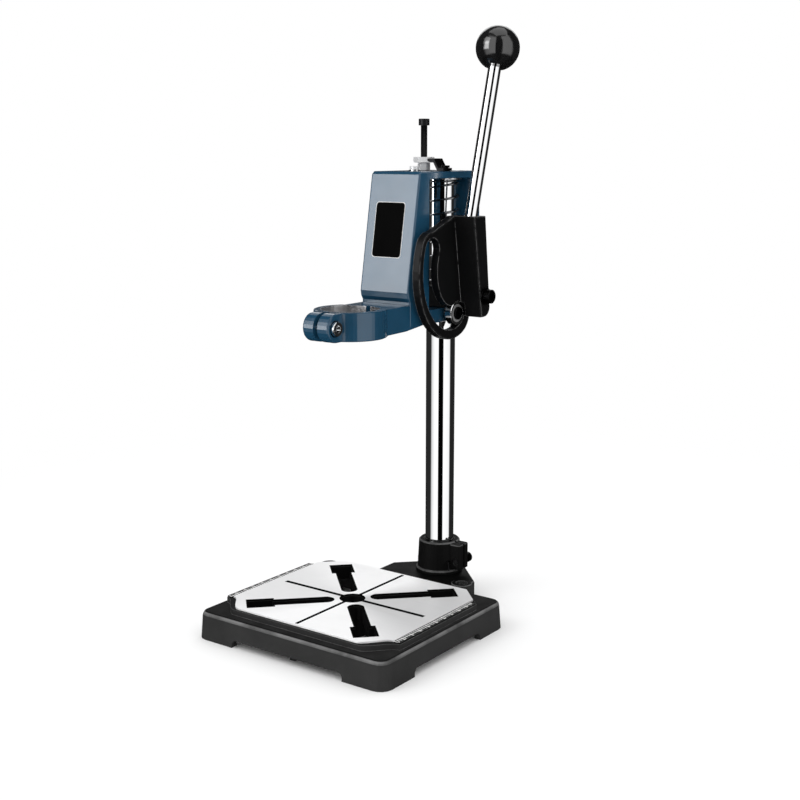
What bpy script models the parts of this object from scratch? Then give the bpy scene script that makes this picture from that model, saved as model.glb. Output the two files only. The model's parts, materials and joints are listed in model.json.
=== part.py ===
"""Bench drill stand: a cast base with a slotted work plate, a round column, and a
sprung carriage with a clamping collar, driven down the column by a lever and a cam slot.

Metres, +Z up. The origin is where the column's axis meets the bench.
-Y is the front, where the collar and the work plate are.
"""
import math

import bmesh
import bpy
from mathutils import Matrix, Vector

# Fits shared by every piece
SEAT_GAP = 0.0003
RUN_GAP = 0.0003
CUT_OVERRUN = 0.004
UNION_OVERLAP = 0.002
WELD_DISTANCE = 0.000001
SHARP_ANGLE = math.radians(32)

# Column and socket
COLUMN_RADIUS = 0.014
COLUMN_WALL = 0.0025
COLUMN_TOP_DROP = 0.0037
COLUMN_FLOOR = 0.008
COLUMN_CHAMFER = 0.001
SOCKET_HEIGHT = 0.032
SOCKET_RADIUS_LOW = 0.0215
SOCKET_RADIUS_TOP = 0.0203
SOCKET_LIP = 0.0015
SOCKET_FLANGE_RADIUS = 0.0232
SOCKET_FLANGE_HEIGHT = 0.004
SOCKET_LUG_REACH = 0.0295
SOCKET_LUG_HALF_WIDTH = 0.0085
SOCKET_LUG_CORNER = 0.0025
SOCKET_SPLIT = 0.0024
SOCKET_BOLT_CIRCLE = 0.0189
SOCKET_BOLT_COUNT = 3
SOCKET_BOLT_LENGTH = 0.03
SOCKET_SCREW_HEIGHT = 0.013
SOCKET_SCREW_INSET = 0.0045

# Base casting
BASE_WIDTH = 0.213
BASE_SETBACK = 0.046
BASE_HEIGHT = 0.0252
BASE_CORNER = 0.012
BASE_EDGE = 0.005
BASE_DRAFT = 0.0016
BASE_WALL = 0.006
BASE_ROOF = 0.0075
RIB_THICKNESS = 0.005
CENTRE_BOSS_RADIUS = 0.0155
POCKET_CORNER = 0.006
FOOT_LENGTH = 0.044
ARCH_HEIGHT = 0.007
ARCH_SLOPE = 0.003
TAB_HEIGHT = 0.0223
TAB_HALF_WIDTH = 0.049
TAB_RADIUS = 0.027
TAB_EDGE = 0.002
TAB_POCKET_DEPTH = 0.014
LUG_RADIUS = 0.010
LUG_SETBACK = 0.0145
LUG_INSET = 0.0013
LUG_RISE = 0.0035
LUG_HOLE_RADIUS = 0.0028
LUG_SEAT_RADIUS = 0.0058
LUG_SEAT_DEPTH = 0.0012

# Raised table, work plate and scales
REACH = 0.141
TABLE_BORDER_SIDE = 0.008
TABLE_BORDER_END = 0.0125
TABLE_HEIGHT = 0.0051
NOTCH_WIDTH = 0.028
NOTCH_LENGTH = 0.021
TABLE_CHAMFER = 0.026
PLATE_MARGIN = 0.0015
PLATE_THICKNESS = 0.0015
SCALE_WIDTH = 0.0062
SCALE_THICKNESS = 0.001
CENTRE_HOLE_RADIUS = 0.011
SLOT_INNER_RADIUS = 0.0182
SLOT_HEAD_LENGTH = 0.023
SLOT_MARGIN = 0.015
SLOT_WIDTH = 0.012
SLOT_HEAD_WIDTH = 0.020
SLOT_COUNT = 4

# Carriage frame
CARRIAGE_FLOOR = 0.2775
CARRIAGE_HEIGHT = 0.1382
CARRIAGE_HALF_WIDTH = 0.027
FRONT_SLOPE = 0.019
FRONT_FOOT = 0.029
FRONT_LIP = 0.0035
FRONT_CORNER = 0.0025
FRONT_WALL = 0.0145
BACK_REACH = 0.0255
BACK_WALL = 0.005
BACK_ROUND = 0.015
TOP_PLATE = 0.0065
FLOOR_PLATE = 0.013
WINDOW_CORNER = 0.002
CARRIAGE_BEVEL = 0.0014

# Collar
COLLAR_BORE_RADIUS = 0.026
COLLAR_WALL = 0.0062
COLLAR_RISE = 0.021
COLLAR_CLEARANCE = 0.0163
COLLAR_HEIGHT = 0.025
COLLAR_FILLET = 0.003
COLLAR_SPLIT = 0.0042
COLLAR_FACE_STEP = 0.0006
COLLAR_BEVEL = 0.0012
EAR_HALF_WIDTH = 0.014
EAR_REACH = 0.0362
EAR_SCREW_REACH = 0.0385
RELIEF_WIDTH = 0.0048
RELIEF_DEPTH = 0.0045
COUNTERBORE_DEPTH = 0.005

# Bushes and spring
BUSH_WALL = 0.0027
BUSH_FLANGE = 0.002
BUSH_FLANGE_THICKNESS = 0.0016
SPRING_WIRE = 0.0019
SPRING_RADIUS = 0.01615
SPRING_ACTIVE_TURNS = 7
SPRING_END_TURNS = 1
SPRING_END_PITCH = 0.0025
SPRING_POINTS_PER_TURN = 10

# Clamp block on the column
CLAMP_HEIGHT = 0.0192
CLAMP_RING_RADIUS = 0.019
CLAMP_BLOCK_LEFT = 0.015
CLAMP_BLOCK_INSET = 0.001
CLAMP_FRONT_WALL = 0.0085
CLAMP_BLOCK_BACK = 0.003
CLAMP_LUG_REACH = 0.042
CLAMP_LUG_HALF_WIDTH = 0.009
CLAMP_SPLIT = 0.0026
CLAMP_CORNER = 0.0025
CLAMP_SCREW_INSET = 0.0085

# Lever, cam slot and follower
STROKE = 0.052
LEVER_SWING = math.radians(120)
PIVOT_REACH = 0.017
PIVOT_RISE = 0.0245
PIVOT_BOSS_RADIUS = 0.0082
PIVOT_SEAT_DEPTH = 0.0195
ROLLER_RADIUS = 0.011
ROLLER_WIDTH = 0.007
ROLLER_REACH = 0.029
ROLLER_DROP = 0.0162
ROLLER_RACE = 0.0024
ROLLER_SPACER = 0.0037
ROLLER_SPACER_RADIUS = 0.0065
ROLLER_SCREW_DEPTH = 0.0175
ROLLER_SCREW_HEAD_RADIUS = 0.006
ROLLER_SCREW_HEAD = 0.002
CAM_WALL_LOW = 0.010
CAM_WALL_HIGH = 0.005
CAM_STEPS = 22
ROCKER_SIDE_GAP = 0.004
ROCKER_PLATE = 0.0075
ROCKER_BLOCK = 0.022
ROCKER_RISE = 0.0735
BLOCK_FRONT_TOP = 0.0355
BLOCK_FRONT_LOW = 0.0215
BLOCK_DROP = 0.0195
BLOCK_BACK_TOP = 0.0165
BLOCK_BACK_LOW = 0.0073
HEEL_RADIUS = 0.009
ROCKER_BEVEL = 0.0014
PIVOT_BUSH_WALL = 0.0014
ROD_RADIUS = 0.006
ROD_SEAT_DEPTH = 0.0025
ROD_ENTRY_REACH = 0.0245
STUD_RADIUS = 0.004
STUD_LENGTH = 0.012
ROD_CHAMFER = 0.0006
KNOB_RADIUS = 0.0203
KNOB_RISE = 0.1507
KNOB_SETBACK = 0.0174
KNOB_FLAT = 0.0105
KNOB_SEAT_DEPTH = 0.016

# Depth stop on top of the carriage
STOP_REACH = 0.0292
STOP_TRAVEL = 0.027
STOP_TIP_MARGIN = 0.0008
STOP_HEAD_RISE = 0.0411
STOP_NUT_RISE = 0.0075
STOP_NUT_ACROSS = 0.017
STOP_NUT_THICKNESS = 0.0051
BRACKET_THICKNESS = 0.0024
BRACKET_HALF_WIDTH = 0.007
BRACKET_FOOT = 0.0075
BRACKET_SLOPE = 0.005
BRACKET_FOOT_INSET = 0.0005
TOP_BOLT_REACH = 0.0445
TOP_BOLT_HEAD_HEIGHT = 0.003

# Fastener families: shank radius, head radius, head height, hexagon across flats
M3 = {"shank": 0.0015, "head": 0.0026, "head_height": 0.002, "hexagon": 0.002}
M5 = {"shank": 0.0025, "head": 0.00425, "head_height": 0.005, "hexagon": 0.004}
M6 = {"shank": 0.003, "head": 0.005, "head_height": 0.006, "hexagon": 0.005}
M8 = {"shank": 0.004, "head": 0.0065, "head_height": 0.008, "hexagon": 0.006}
M6_NUT_ACROSS = 0.010
WASHER_THICKNESS = 0.0016
WASHER_MARGIN = 0.0015
HEX_DEPTH_SHARE = 0.5
HEAD_CHAMFER_SHARE = 0.08
END_CHAMFER_SHARE = 0.15

# Facets
ROUND_STEPS = 40
SMALL_STEPS = 20
CORNER_STEPS = 4
BEVEL_STEPS = 2

# Places worked out from the sizes above
BENCH = 0
TABLE_TOP = BASE_HEIGHT + TABLE_HEIGHT
PLATE_BOTTOM = TABLE_TOP + SEAT_GAP
PLATE_TOP = PLATE_BOTTOM + PLATE_THICKNESS
BASE_BACK = -BASE_SETBACK
BASE_LENGTH = (REACH - BASE_SETBACK) * 2
TABLE_WIDTH = BASE_WIDTH - 2 * TABLE_BORDER_SIDE
TABLE_LENGTH = BASE_LENGTH - 2 * TABLE_BORDER_END
SLOT_OUTER_RADIUS = (min(TABLE_WIDTH, TABLE_LENGTH) / 2 - SLOT_MARGIN) * math.sqrt(2)
SLOT_NECK_RADIUS = SLOT_OUTER_RADIUS - SLOT_HEAD_LENGTH
SOCKET_FOOT = TAB_HEIGHT + SEAT_GAP
SOCKET_TOP = SOCKET_FOOT + SOCKET_HEIGHT
COLUMN_BORE = COLUMN_RADIUS + RUN_GAP
BUSH_RADIUS = COLUMN_BORE + BUSH_WALL
COLLAR_RADIUS = COLLAR_BORE_RADIUS + COLLAR_WALL
COLLAR_TOP = CARRIAGE_FLOOR + COLLAR_RISE
COLLAR_FLOOR = COLLAR_TOP - COLLAR_HEIGHT
COLLAR_MIDDLE = COLLAR_TOP - COLLAR_HEIGHT / 2
CARRIAGE_TOP = CARRIAGE_FLOOR + CARRIAGE_HEIGHT
FRONT_LOW_HEIGHT = CARRIAGE_FLOOR + FRONT_FOOT
FRONT_LOW_REACH = REACH - COLLAR_RADIUS - COLLAR_CLEARANCE
FRONT_TOP_REACH = FRONT_LOW_REACH - FRONT_SLOPE
WINDOW_REACH = FRONT_TOP_REACH - FRONT_WALL
WINDOW_FLOOR = CARRIAGE_FLOOR + FLOOR_PLATE
WINDOW_TOP = CARRIAGE_TOP - TOP_PLATE
COLUMN_TOP = CARRIAGE_TOP - COLUMN_TOP_DROP
CLAMP_FLOOR = WINDOW_FLOOR + SEAT_GAP
CLAMP_TOP = CLAMP_FLOOR + CLAMP_HEIGHT
CLAMP_MIDDLE = (CLAMP_FLOOR + CLAMP_TOP) / 2
CLAMP_BLOCK_RIGHT = CARRIAGE_HALF_WIDTH - CLAMP_BLOCK_INSET
CLAMP_BLOCK_FRONT = PIVOT_REACH + PIVOT_BOSS_RADIUS + CLAMP_FRONT_WALL
BUSH_FLANGE_FLOOR = WINDOW_TOP - SEAT_GAP - BUSH_FLANGE_THICKNESS
PIVOT_HEIGHT = CARRIAGE_FLOOR + PIVOT_RISE
ROCKER_TOP = PIVOT_HEIGHT + ROCKER_RISE
BLOCK_FLOOR = PIVOT_HEIGHT - BLOCK_DROP
KNOB_HEIGHT = ROCKER_TOP + KNOB_RISE
PIVOT = Vector((0, -PIVOT_REACH, PIVOT_HEIGHT))
FOLLOWER = Vector((0, -ROLLER_REACH, PIVOT_HEIGHT - ROLLER_DROP))
ROCKER_INNER = CARRIAGE_HALF_WIDTH + ROCKER_SIDE_GAP
ROCKER_FACE = ROCKER_INNER + ROCKER_PLATE
BLOCK_FACE = ROCKER_FACE + ROCKER_BLOCK
SLOT_HALF_WIDTH = ROLLER_RADIUS + RUN_GAP
ROD_SIDE = ROCKER_FACE + ROCKER_BLOCK / 2
ROLLER_INNER = CARRIAGE_HALF_WIDTH + SEAT_GAP + ROLLER_SPACER + SEAT_GAP
ROLLER_OUTER = ROLLER_INNER + ROLLER_WIDTH
PIVOT_BUSH_RADIUS = M8["shank"] + RUN_GAP + PIVOT_BUSH_WALL
ROD_LEAN = math.atan2(KNOB_SETBACK + ROD_ENTRY_REACH, KNOB_HEIGHT - ROCKER_TOP)
BRACKET_FOOT_START = CARRIAGE_HALF_WIDTH - BRACKET_FOOT
BRACKET_ARM_END = BRACKET_FOOT_START - BRACKET_SLOPE
STOP_HEAD_HEIGHT = CARRIAGE_TOP + STOP_HEAD_RISE
STOP_NUT_HEIGHT = CARRIAGE_TOP + STOP_NUT_RISE
STOP_TIP = CLAMP_TOP + STROKE + STOP_TRAVEL + STOP_TIP_MARGIN

FINISHES = {
    "black_casting": ((0.018, 0.018, 0.019), 0.42, 0.0),
    "blue_casting": ((0.012, 0.070, 0.130), 0.22, 0.0),
    "plate": ((0.80, 0.80, 0.81), 0.32, 1.0),
    "scale": ((0.02, 0.02, 0.022), 0.5, 0.0),
    "chrome": ((0.86, 0.87, 0.88), 0.06, 1.0),
    "steel": ((0.62, 0.62, 0.63), 0.28, 1.0),
    "black_steel": ((0.03, 0.03, 0.032), 0.35, 0.6),
    "bronze": ((0.55, 0.42, 0.24), 0.35, 1.0),
    "seal": ((0.02, 0.02, 0.02), 0.55, 0.0),
    "gloss_black": ((0.006, 0.006, 0.007), 0.08, 0.0),
}


def clear_scene():
    """Remove every object, so that the model starts from nothing."""
    for old in list(bpy.data.objects):
        bpy.data.objects.remove(old, do_unlink=True)


def finish(name):
    """Return the material of one finish, made once."""
    made = bpy.data.materials.get(name)
    if made is None:
        colour, roughness, metallic = FINISHES[name]
        made = bpy.data.materials.new(name)
        made.use_nodes = True
        shader = made.node_tree.nodes["Principled BSDF"]
        shader.inputs["Base Color"].default_value = (*colour, 1)
        shader.inputs["Roughness"].default_value = roughness
        shader.inputs["Metallic"].default_value = metallic
        made.diffuse_color = (*colour, 1)
    return made


def add_object(name, bm, finish_name=None):
    """Turn a bmesh into a linked object with smooth shading and sharp corners kept."""
    bmesh.ops.remove_doubles(bm, verts=bm.verts, dist=WELD_DISTANCE)
    bmesh.ops.recalc_face_normals(bm, faces=bm.faces)
    mesh = bpy.data.meshes.new(name)
    bm.to_mesh(mesh)
    bm.free()
    mesh.shade_smooth()
    mesh.set_sharp_from_angle(angle=SHARP_ANGLE)
    made = bpy.data.objects.new(name, mesh)
    if finish_name:
        made.data.materials.append(finish(finish_name))
    bpy.context.scene.collection.objects.link(made)
    return made


def combine(target, tool, operation):
    """Cut, join or intersect with a tool object, and keep the result as the target's mesh."""
    tool.hide_render = True
    tool.display_type = "WIRE"
    modifier = target.modifiers.new("shape", "BOOLEAN")
    modifier.operation = operation
    modifier.solver = "EXACT"
    modifier.object = tool
    bpy.context.view_layer.update()
    graph = bpy.context.evaluated_depsgraph_get()
    shaped = bpy.data.meshes.new_from_object(target.evaluated_get(graph))
    target.modifiers.clear()
    old = target.data
    target.data = shaped
    shaped.name = target.name
    bpy.data.meshes.remove(old)
    bpy.data.objects.remove(tool, do_unlink=True)
    target.data.shade_smooth()
    target.data.set_sharp_from_angle(angle=SHARP_ANGLE)


def cut(target, bm):
    combine(target, add_object("cutter", bm), "DIFFERENCE")


def join(target, bm):
    combine(target, add_object("addition", bm), "UNION")


def arc(centre, radius, start, end, steps):
    """Points on an arc in a plane, ends included."""
    points = []
    for step in range(steps + 1):
        angle = start + (end - start) * step / steps
        points.append((centre[0] + radius * math.cos(angle), centre[1] + radius * math.sin(angle)))
    return points


def circle(centre, radius, steps):
    return arc(centre, radius, 0, math.tau, steps)[:-1]


def rounded_box(low, high, radius, steps=CORNER_STEPS):
    """Outline of a rectangle with round corners, anticlockwise from its lower right corner."""
    right_low = (high[0] - radius, low[1] + radius)
    right_high = (high[0] - radius, high[1] - radius)
    left_high = (low[0] + radius, high[1] - radius)
    left_low = (low[0] + radius, low[1] + radius)
    quarter = math.pi / 2
    points = arc(right_low, radius, -quarter, 0, steps)
    points += arc(right_high, radius, 0, quarter, steps)
    points += arc(left_high, radius, quarter, 2 * quarter, steps)
    points += arc(left_low, radius, 2 * quarter, 3 * quarter, steps)
    return points


def place(point, level, axis):
    """Put a plane outline's point in space: the outline lies across the axis, at a level on it."""
    if axis == "X":
        return Vector((level, point[0], point[1]))
    if axis == "Y":
        return Vector((point[0], level, point[1]))
    return Vector((point[0], point[1], level))


def prism(outline, low, high, axis="Z", bevel=0, bevel_ends="both"):
    """Extrude an outline along an axis, with its end edges rounded if a bevel is given."""
    bm = bmesh.new()
    corners = [bm.verts.new(place(point, low, axis)) for point in outline]
    face = bm.faces.new(corners)
    raised = bmesh.ops.extrude_face_region(bm, geom=[face])
    moved = [item for item in raised["geom"] if isinstance(item, bmesh.types.BMVert)]
    shift = place((0, 0), high - low, axis)
    bmesh.ops.translate(bm, verts=moved, vec=shift)
    bmesh.ops.recalc_face_normals(bm, faces=bm.faces)
    if bevel:
        index = "XYZ".index(axis)
        levels = {"both": (low, high), "low": (low,), "high": (high,)}[bevel_ends]
        rims = []
        for edge in bm.edges:
            heights = [vert.co[index] for vert in edge.verts]
            if any(max(abs(h - level) for h in heights) < WELD_DISTANCE for level in levels):
                rims.append(edge)
        bmesh.ops.bevel(bm, geom=rims, offset=bevel, segments=BEVEL_STEPS, profile=0.5,
                        affect="EDGES", clamp_overlap=True)
    return bm


def loft(sections):
    """Bridge equal outlines, each given with its height, and close both ends."""
    bm = bmesh.new()
    loops = []
    for outline, level in sections:
        corners = [bm.verts.new(place(point, level, "Z")) for point in outline]
        count = len(corners)
        loops.append([bm.edges.new((corners[i], corners[(i + 1) % count])) for i in range(count)])
    for lower, upper in zip(loops, loops[1:]):
        bmesh.ops.bridge_loops(bm, edges=lower + upper)
    bmesh.ops.contextual_create(bm, geom=loops[0])
    bmesh.ops.contextual_create(bm, geom=loops[-1])
    return bm


def revolve(profile, centre, axis="Z", steps=ROUND_STEPS):
    """Spin a closed profile of (radius, level) points round an axis, as a ring."""
    bm = bmesh.new()
    corners = []
    for radius, level in profile:
        corners.append(bm.verts.new(place((centre[0] + radius, centre[1]), level, axis)))
    count = len(corners)
    edges = [bm.edges.new((corners[i], corners[(i + 1) % count])) for i in range(count)]
    direction = place((0, 0), 1, axis)
    pivot = place(centre, 0, axis)
    bmesh.ops.spin(bm, geom=corners + edges, cent=pivot, axis=direction, dvec=(0, 0, 0),
                   angle=math.tau, steps=steps, use_merge=True, use_duplicate=False)
    return bm


def cylinder(centre, radius, low, high, axis="Z", steps=ROUND_STEPS, bevel=0, bevel_ends="both"):
    return prism(circle(centre, radius, steps), low, high, axis, bevel, bevel_ends)


def turned(profile, centre, axis="Z", steps=SMALL_STEPS):
    """Solid turned form with flat ends, spun from (radius, level) pairs along its axis."""
    bm = bmesh.new()
    corners = []
    for radius, level in profile:
        corners.append(bm.verts.new(place((centre[0] + radius, centre[1]), level, axis)))
    edges = [bm.edges.new(pair) for pair in zip(corners, corners[1:])]
    bmesh.ops.spin(bm, geom=corners + edges, cent=place(centre, 0, axis),
                   axis=place((0, 0), 1, axis), dvec=(0, 0, 0), angle=math.tau, steps=steps,
                   use_merge=True, use_duplicate=False)
    bmesh.ops.remove_doubles(bm, verts=bm.verts, dist=WELD_DISTANCE)
    bmesh.ops.holes_fill(bm, edges=bm.edges, sides=steps)
    return bm


def tube(centre, inner, outer, low, high, axis="Z", steps=ROUND_STEPS, chamfer=0):
    """A plain ring, with its outer end edges chamfered if asked."""
    if chamfer:
        profile = [(inner, low), (outer - chamfer, low), (outer, low + chamfer),
                   (outer, high - chamfer), (outer - chamfer, high), (inner, high)]
    else:
        profile = [(inner, low), (outer, low), (outer, high), (inner, high)]
    return revolve(profile, centre, axis, steps)


def hexagon(centre, across, turn=0):
    """Outline of a hexagon with its flats facing along the first axis when turn is zero."""
    radius = across / math.sqrt(3)
    return arc(centre, radius, math.pi / 6 + turn, math.pi / 6 + turn + math.tau, 6)[:-1]


def cap_screw(name, size, centre, tip, seat, axis, finish_name):
    """Socket-head screw. The head lies beyond the seat, on the side away from the tip."""
    side = 1 if seat > tip else -1
    crown = seat + side * size["head_height"]
    chamfer = size["head"] * HEAD_CHAMFER_SHARE
    end = size["shank"] - size["shank"] * END_CHAMFER_SHARE
    form = [(end, tip), (size["shank"], tip + side * (size["shank"] - end)), (size["shank"], seat),
            (size["head"], seat), (size["head"], crown - side * chamfer),
            (size["head"] - chamfer, crown)]
    made = add_object(name, turned(form, centre, axis), finish_name)
    bottom = crown - side * size["head_height"] * HEX_DEPTH_SHARE
    mouth = crown + side * CUT_OVERRUN
    recess = hexagon(centre, size["hexagon"])
    cut(made, prism(recess, min(bottom, mouth), max(bottom, mouth), axis))
    return made


def hex_nut(name, across, bore, centre, low, high, finish_name):
    """Hexagon nut round a vertical axis, its corners turned off at both ends."""
    made = add_object(name, prism(hexagon(centre, across), low, high), finish_name)
    half = across / 2
    corner = across / math.sqrt(3)
    drop = (corner - half) / 2
    cone = [(bore, low), (half, low), (corner + drop, low + drop), (corner + drop, high - drop),
            (half, high), (bore, high)]
    combine(made, add_object("turned_form", revolve(cone, centre, "Z", SMALL_STEPS)), "INTERSECT")
    return made


def move_origin(piece, origin):
    """Put a piece's origin on its joint's axis without moving the piece."""
    piece.data.transform(Matrix.Translation(-Vector(origin)))
    piece.location = origin


def body_frame(name, origin, parent=None):
    """An empty on a joint's axis, which carries one moving body."""
    frame = bpy.data.objects.new(name, None)
    bpy.context.scene.collection.objects.link(frame)
    frame.location = origin
    if parent:
        attach(frame, parent)
    return frame


def attach(piece, parent):
    bpy.context.view_layer.update()
    piece.parent = parent
    piece.matrix_parent_inverse = parent.matrix_world.inverted()


def notched_outline(half_x, half_y, notch, chamfer):
    """Plate outline: S-shaped notches in the front corners, chamfers on the back ones."""
    bite = []
    for step in range(3 * CORNER_STEPS + 1):
        share = step / (3 * CORNER_STEPS)
        rise = share * share * (3 - 2 * share)
        bite.append((half_x - notch[0] * (1 - share), notch[1] * rise - half_y))
    right = bite + [(half_x, half_y - chamfer), (half_x - chamfer, half_y)]
    left = [(-x, y) for x, y in reversed(right)]
    return [(x, y - REACH) for x, y in right + left]


def slot_outline(turn):
    """A T-slot along a diagonal: round inner end, narrow neck, wide head outside."""
    half = SLOT_WIDTH / 2
    head = SLOT_HEAD_WIDTH / 2
    inner = arc((SLOT_INNER_RADIUS + half, 0), half, math.pi / 2, 3 * math.pi / 2, 2 * CORNER_STEPS)
    outline = inner + [(SLOT_NECK_RADIUS, -half), (SLOT_NECK_RADIUS, -head),
                       (SLOT_OUTER_RADIUS, -head), (SLOT_OUTER_RADIUS, head),
                       (SLOT_NECK_RADIUS, head), (SLOT_NECK_RADIUS, half)]
    cos_turn = math.cos(turn)
    sin_turn = math.sin(turn)
    return [(x * cos_turn - y * sin_turn, x * sin_turn + y * cos_turn - REACH) for x, y in outline]


def slot_turns():
    return [math.tau * (index + 0.5) / SLOT_COUNT for index in range(SLOT_COUNT)]


def pocket_outline(side_x, side_y):
    """Underside pocket in one quarter of the base, bitten by the centre boss."""
    half = RIB_THICKNESS / 2
    far_x = BASE_WIDTH / 2 - BASE_WALL
    far_y = BASE_LENGTH / 2 - BASE_WALL
    start = math.asin(half / CENTRE_BOSS_RADIUS)
    boss = arc((0, 0), CENTRE_BOSS_RADIUS, math.pi / 2 - start, start, 2 * CORNER_STEPS)
    low_right = arc((far_x - POCKET_CORNER, half + POCKET_CORNER), POCKET_CORNER,
                    -math.pi / 2, 0, CORNER_STEPS)
    high_right = arc((far_x - POCKET_CORNER, far_y - POCKET_CORNER), POCKET_CORNER,
                     0, math.pi / 2, CORNER_STEPS)
    high_left = arc((half + POCKET_CORNER, far_y - POCKET_CORNER), POCKET_CORNER,
                    math.pi / 2, math.pi, CORNER_STEPS)
    outline = boss + low_right + high_right + high_left
    return [(side_x * x, side_y * y - REACH) for x, y in outline]


def arch_outline(half_span):
    """Gap under a skirt wall between two feet, with sloping shoulders."""
    return [(-half_span, -CUT_OVERRUN), (half_span, -CUT_OVERRUN),
            (half_span, ARCH_HEIGHT - ARCH_SLOPE), (half_span - ARCH_SLOPE, ARCH_HEIGHT),
            (ARCH_SLOPE - half_span, ARCH_HEIGHT), (-half_span, ARCH_HEIGHT - ARCH_SLOPE)]


def bolt_places():
    """Angles of the socket's bolts round the column, the first one behind it."""
    return [math.pi / 2 + math.tau * index / SOCKET_BOLT_COUNT for index in range(SOCKET_BOLT_COUNT)]


def tab_outline():
    """Rear tab: full width at the base, then 45 degree sides that meet a round end."""
    break_y = math.sqrt(2) * TAB_RADIUS - TAB_HALF_WIDTH
    front = BASE_BACK - BASE_WALL
    back = arc((0, 0), TAB_RADIUS, math.pi / 4, 3 * math.pi / 4, 3 * CORNER_STEPS)
    return [(-TAB_HALF_WIDTH, front), (TAB_HALF_WIDTH, front), (TAB_HALF_WIDTH, break_y),
            *back, (-TAB_HALF_WIDTH, break_y)]


def make_base_casting():
    """Hollow cast base: skirt on four feet, raised table, ribs, the column's tab and a bench lug."""
    half_x = BASE_WIDTH / 2
    half_y = BASE_LENGTH / 2

    def level_outline(inset):
        return rounded_box((-half_x + inset, -half_y + inset - REACH),
                           (half_x - inset, half_y - inset - REACH), BASE_CORNER - inset)

    sections = [(level_outline(0), BENCH)]
    for step in range(CORNER_STEPS + 1):
        angle = math.pi / 2 * step / CORNER_STEPS
        inset = BASE_DRAFT + (BASE_EDGE - BASE_DRAFT) * (1 - math.cos(angle))
        sections.append((level_outline(inset), BASE_HEIGHT - BASE_EDGE * (1 - math.sin(angle))))
    casting = add_object("base_casting", loft(sections), "black_casting")
    join(casting, prism(tab_outline(), BENCH, TAB_HEIGHT, bevel=TAB_EDGE, bevel_ends="high"))
    lug = (TAB_HALF_WIDTH - LUG_INSET, BASE_BACK + LUG_SETBACK)
    lug_top = TAB_HEIGHT + LUG_RISE
    join(casting, cylinder(lug, LUG_RADIUS, BENCH, lug_top, bevel=TAB_EDGE / 2, bevel_ends="high"))
    table = notched_outline(TABLE_WIDTH / 2, TABLE_LENGTH / 2, (NOTCH_WIDTH, NOTCH_LENGTH), TABLE_CHAMFER)
    join(casting, prism(table, BASE_HEIGHT - UNION_OVERLAP, TABLE_TOP))
    roof = BASE_HEIGHT - BASE_ROOF
    for side_x in (-1, 1):
        for side_y in (-1, 1):
            cut(casting, prism(pocket_outline(side_x, side_y), -CUT_OVERRUN, roof))
    for turn in slot_turns():
        cut(casting, prism(slot_outline(turn), roof - CUT_OVERRUN, TABLE_TOP + CUT_OVERRUN))
    cut(casting, cylinder((0, -REACH), CENTRE_HOLE_RADIUS, -CUT_OVERRUN, TABLE_TOP + CUT_OVERRUN))
    front_arch = arch_outline(half_x - FOOT_LENGTH)
    front = -REACH - half_y
    cut(casting, prism(front_arch, front - CUT_OVERRUN, front + BASE_WALL + CUT_OVERRUN, "Y"))
    side_arch = [(y - REACH, z) for y, z in arch_outline(half_y - FOOT_LENGTH)]
    for side in (-1, 1):
        near = side * (half_x + CUT_OVERRUN)
        far = side * (half_x - BASE_WALL - CUT_OVERRUN)
        cut(casting, prism(side_arch, min(near, far), max(near, far), "X"))
        inner = SOCKET_FLANGE_RADIUS + BASE_WALL
        outer = TAB_HALF_WIDTH - BASE_WALL
        low = (min(side * inner, side * outer), BASE_BACK + SEAT_GAP)
        high = (max(side * inner, side * outer), math.sqrt(2) * TAB_RADIUS - TAB_HALF_WIDTH)
        pocket = rounded_box(low, high, POCKET_CORNER)
        cut(casting, prism(pocket, -CUT_OVERRUN, TAB_POCKET_DEPTH))
    bench_hole = [(LUG_HOLE_RADIUS, -CUT_OVERRUN), (LUG_HOLE_RADIUS, lug_top - LUG_SEAT_DEPTH),
                  (LUG_SEAT_RADIUS, lug_top - LUG_SEAT_DEPTH), (LUG_SEAT_RADIUS, lug_top + CUT_OVERRUN)]
    cut(casting, turned(bench_hole, lug))
    cut(casting, cylinder((0, 0), COLUMN_BORE, COLUMN_FLOOR, TAB_HEIGHT + CUT_OVERRUN))
    for angle in bolt_places():
        centre = (SOCKET_BOLT_CIRCLE * math.cos(angle), SOCKET_BOLT_CIRCLE * math.sin(angle))
        bore = [(M5["head"] + SEAT_GAP, -CUT_OVERRUN), (M5["head"] + SEAT_GAP, socket_bolt_seat()),
                (M5["shank"] + SEAT_GAP, socket_bolt_seat()),
                (M5["shank"] + SEAT_GAP, TAB_HEIGHT + CUT_OVERRUN)]
        cut(casting, turned(bore, centre))
    return casting


def socket_bolt_seat():
    """Height of the shoulder that the socket bolts' heads pull against."""
    return M5["head_height"] + SEAT_GAP * 2


def make_work_plate():
    """Flat work plate with a centre hole and four diagonal T-slots."""
    half_x = TABLE_WIDTH / 2 - SCALE_WIDTH - 2 * SEAT_GAP
    half_y = TABLE_LENGTH / 2 - PLATE_MARGIN
    outline = notched_outline(half_x, half_y, (NOTCH_WIDTH - SCALE_WIDTH / 2, NOTCH_LENGTH),
                              TABLE_CHAMFER - SCALE_WIDTH)
    plate = add_object("work_plate", prism(outline, PLATE_BOTTOM, PLATE_TOP), "plate")
    low = PLATE_BOTTOM - CUT_OVERRUN
    high = PLATE_TOP + CUT_OVERRUN
    cut(plate, cylinder((0, -REACH), CENTRE_HOLE_RADIUS, low, high))
    for turn in slot_turns():
        cut(plate, prism(slot_outline(turn), low, high))
    return plate


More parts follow.
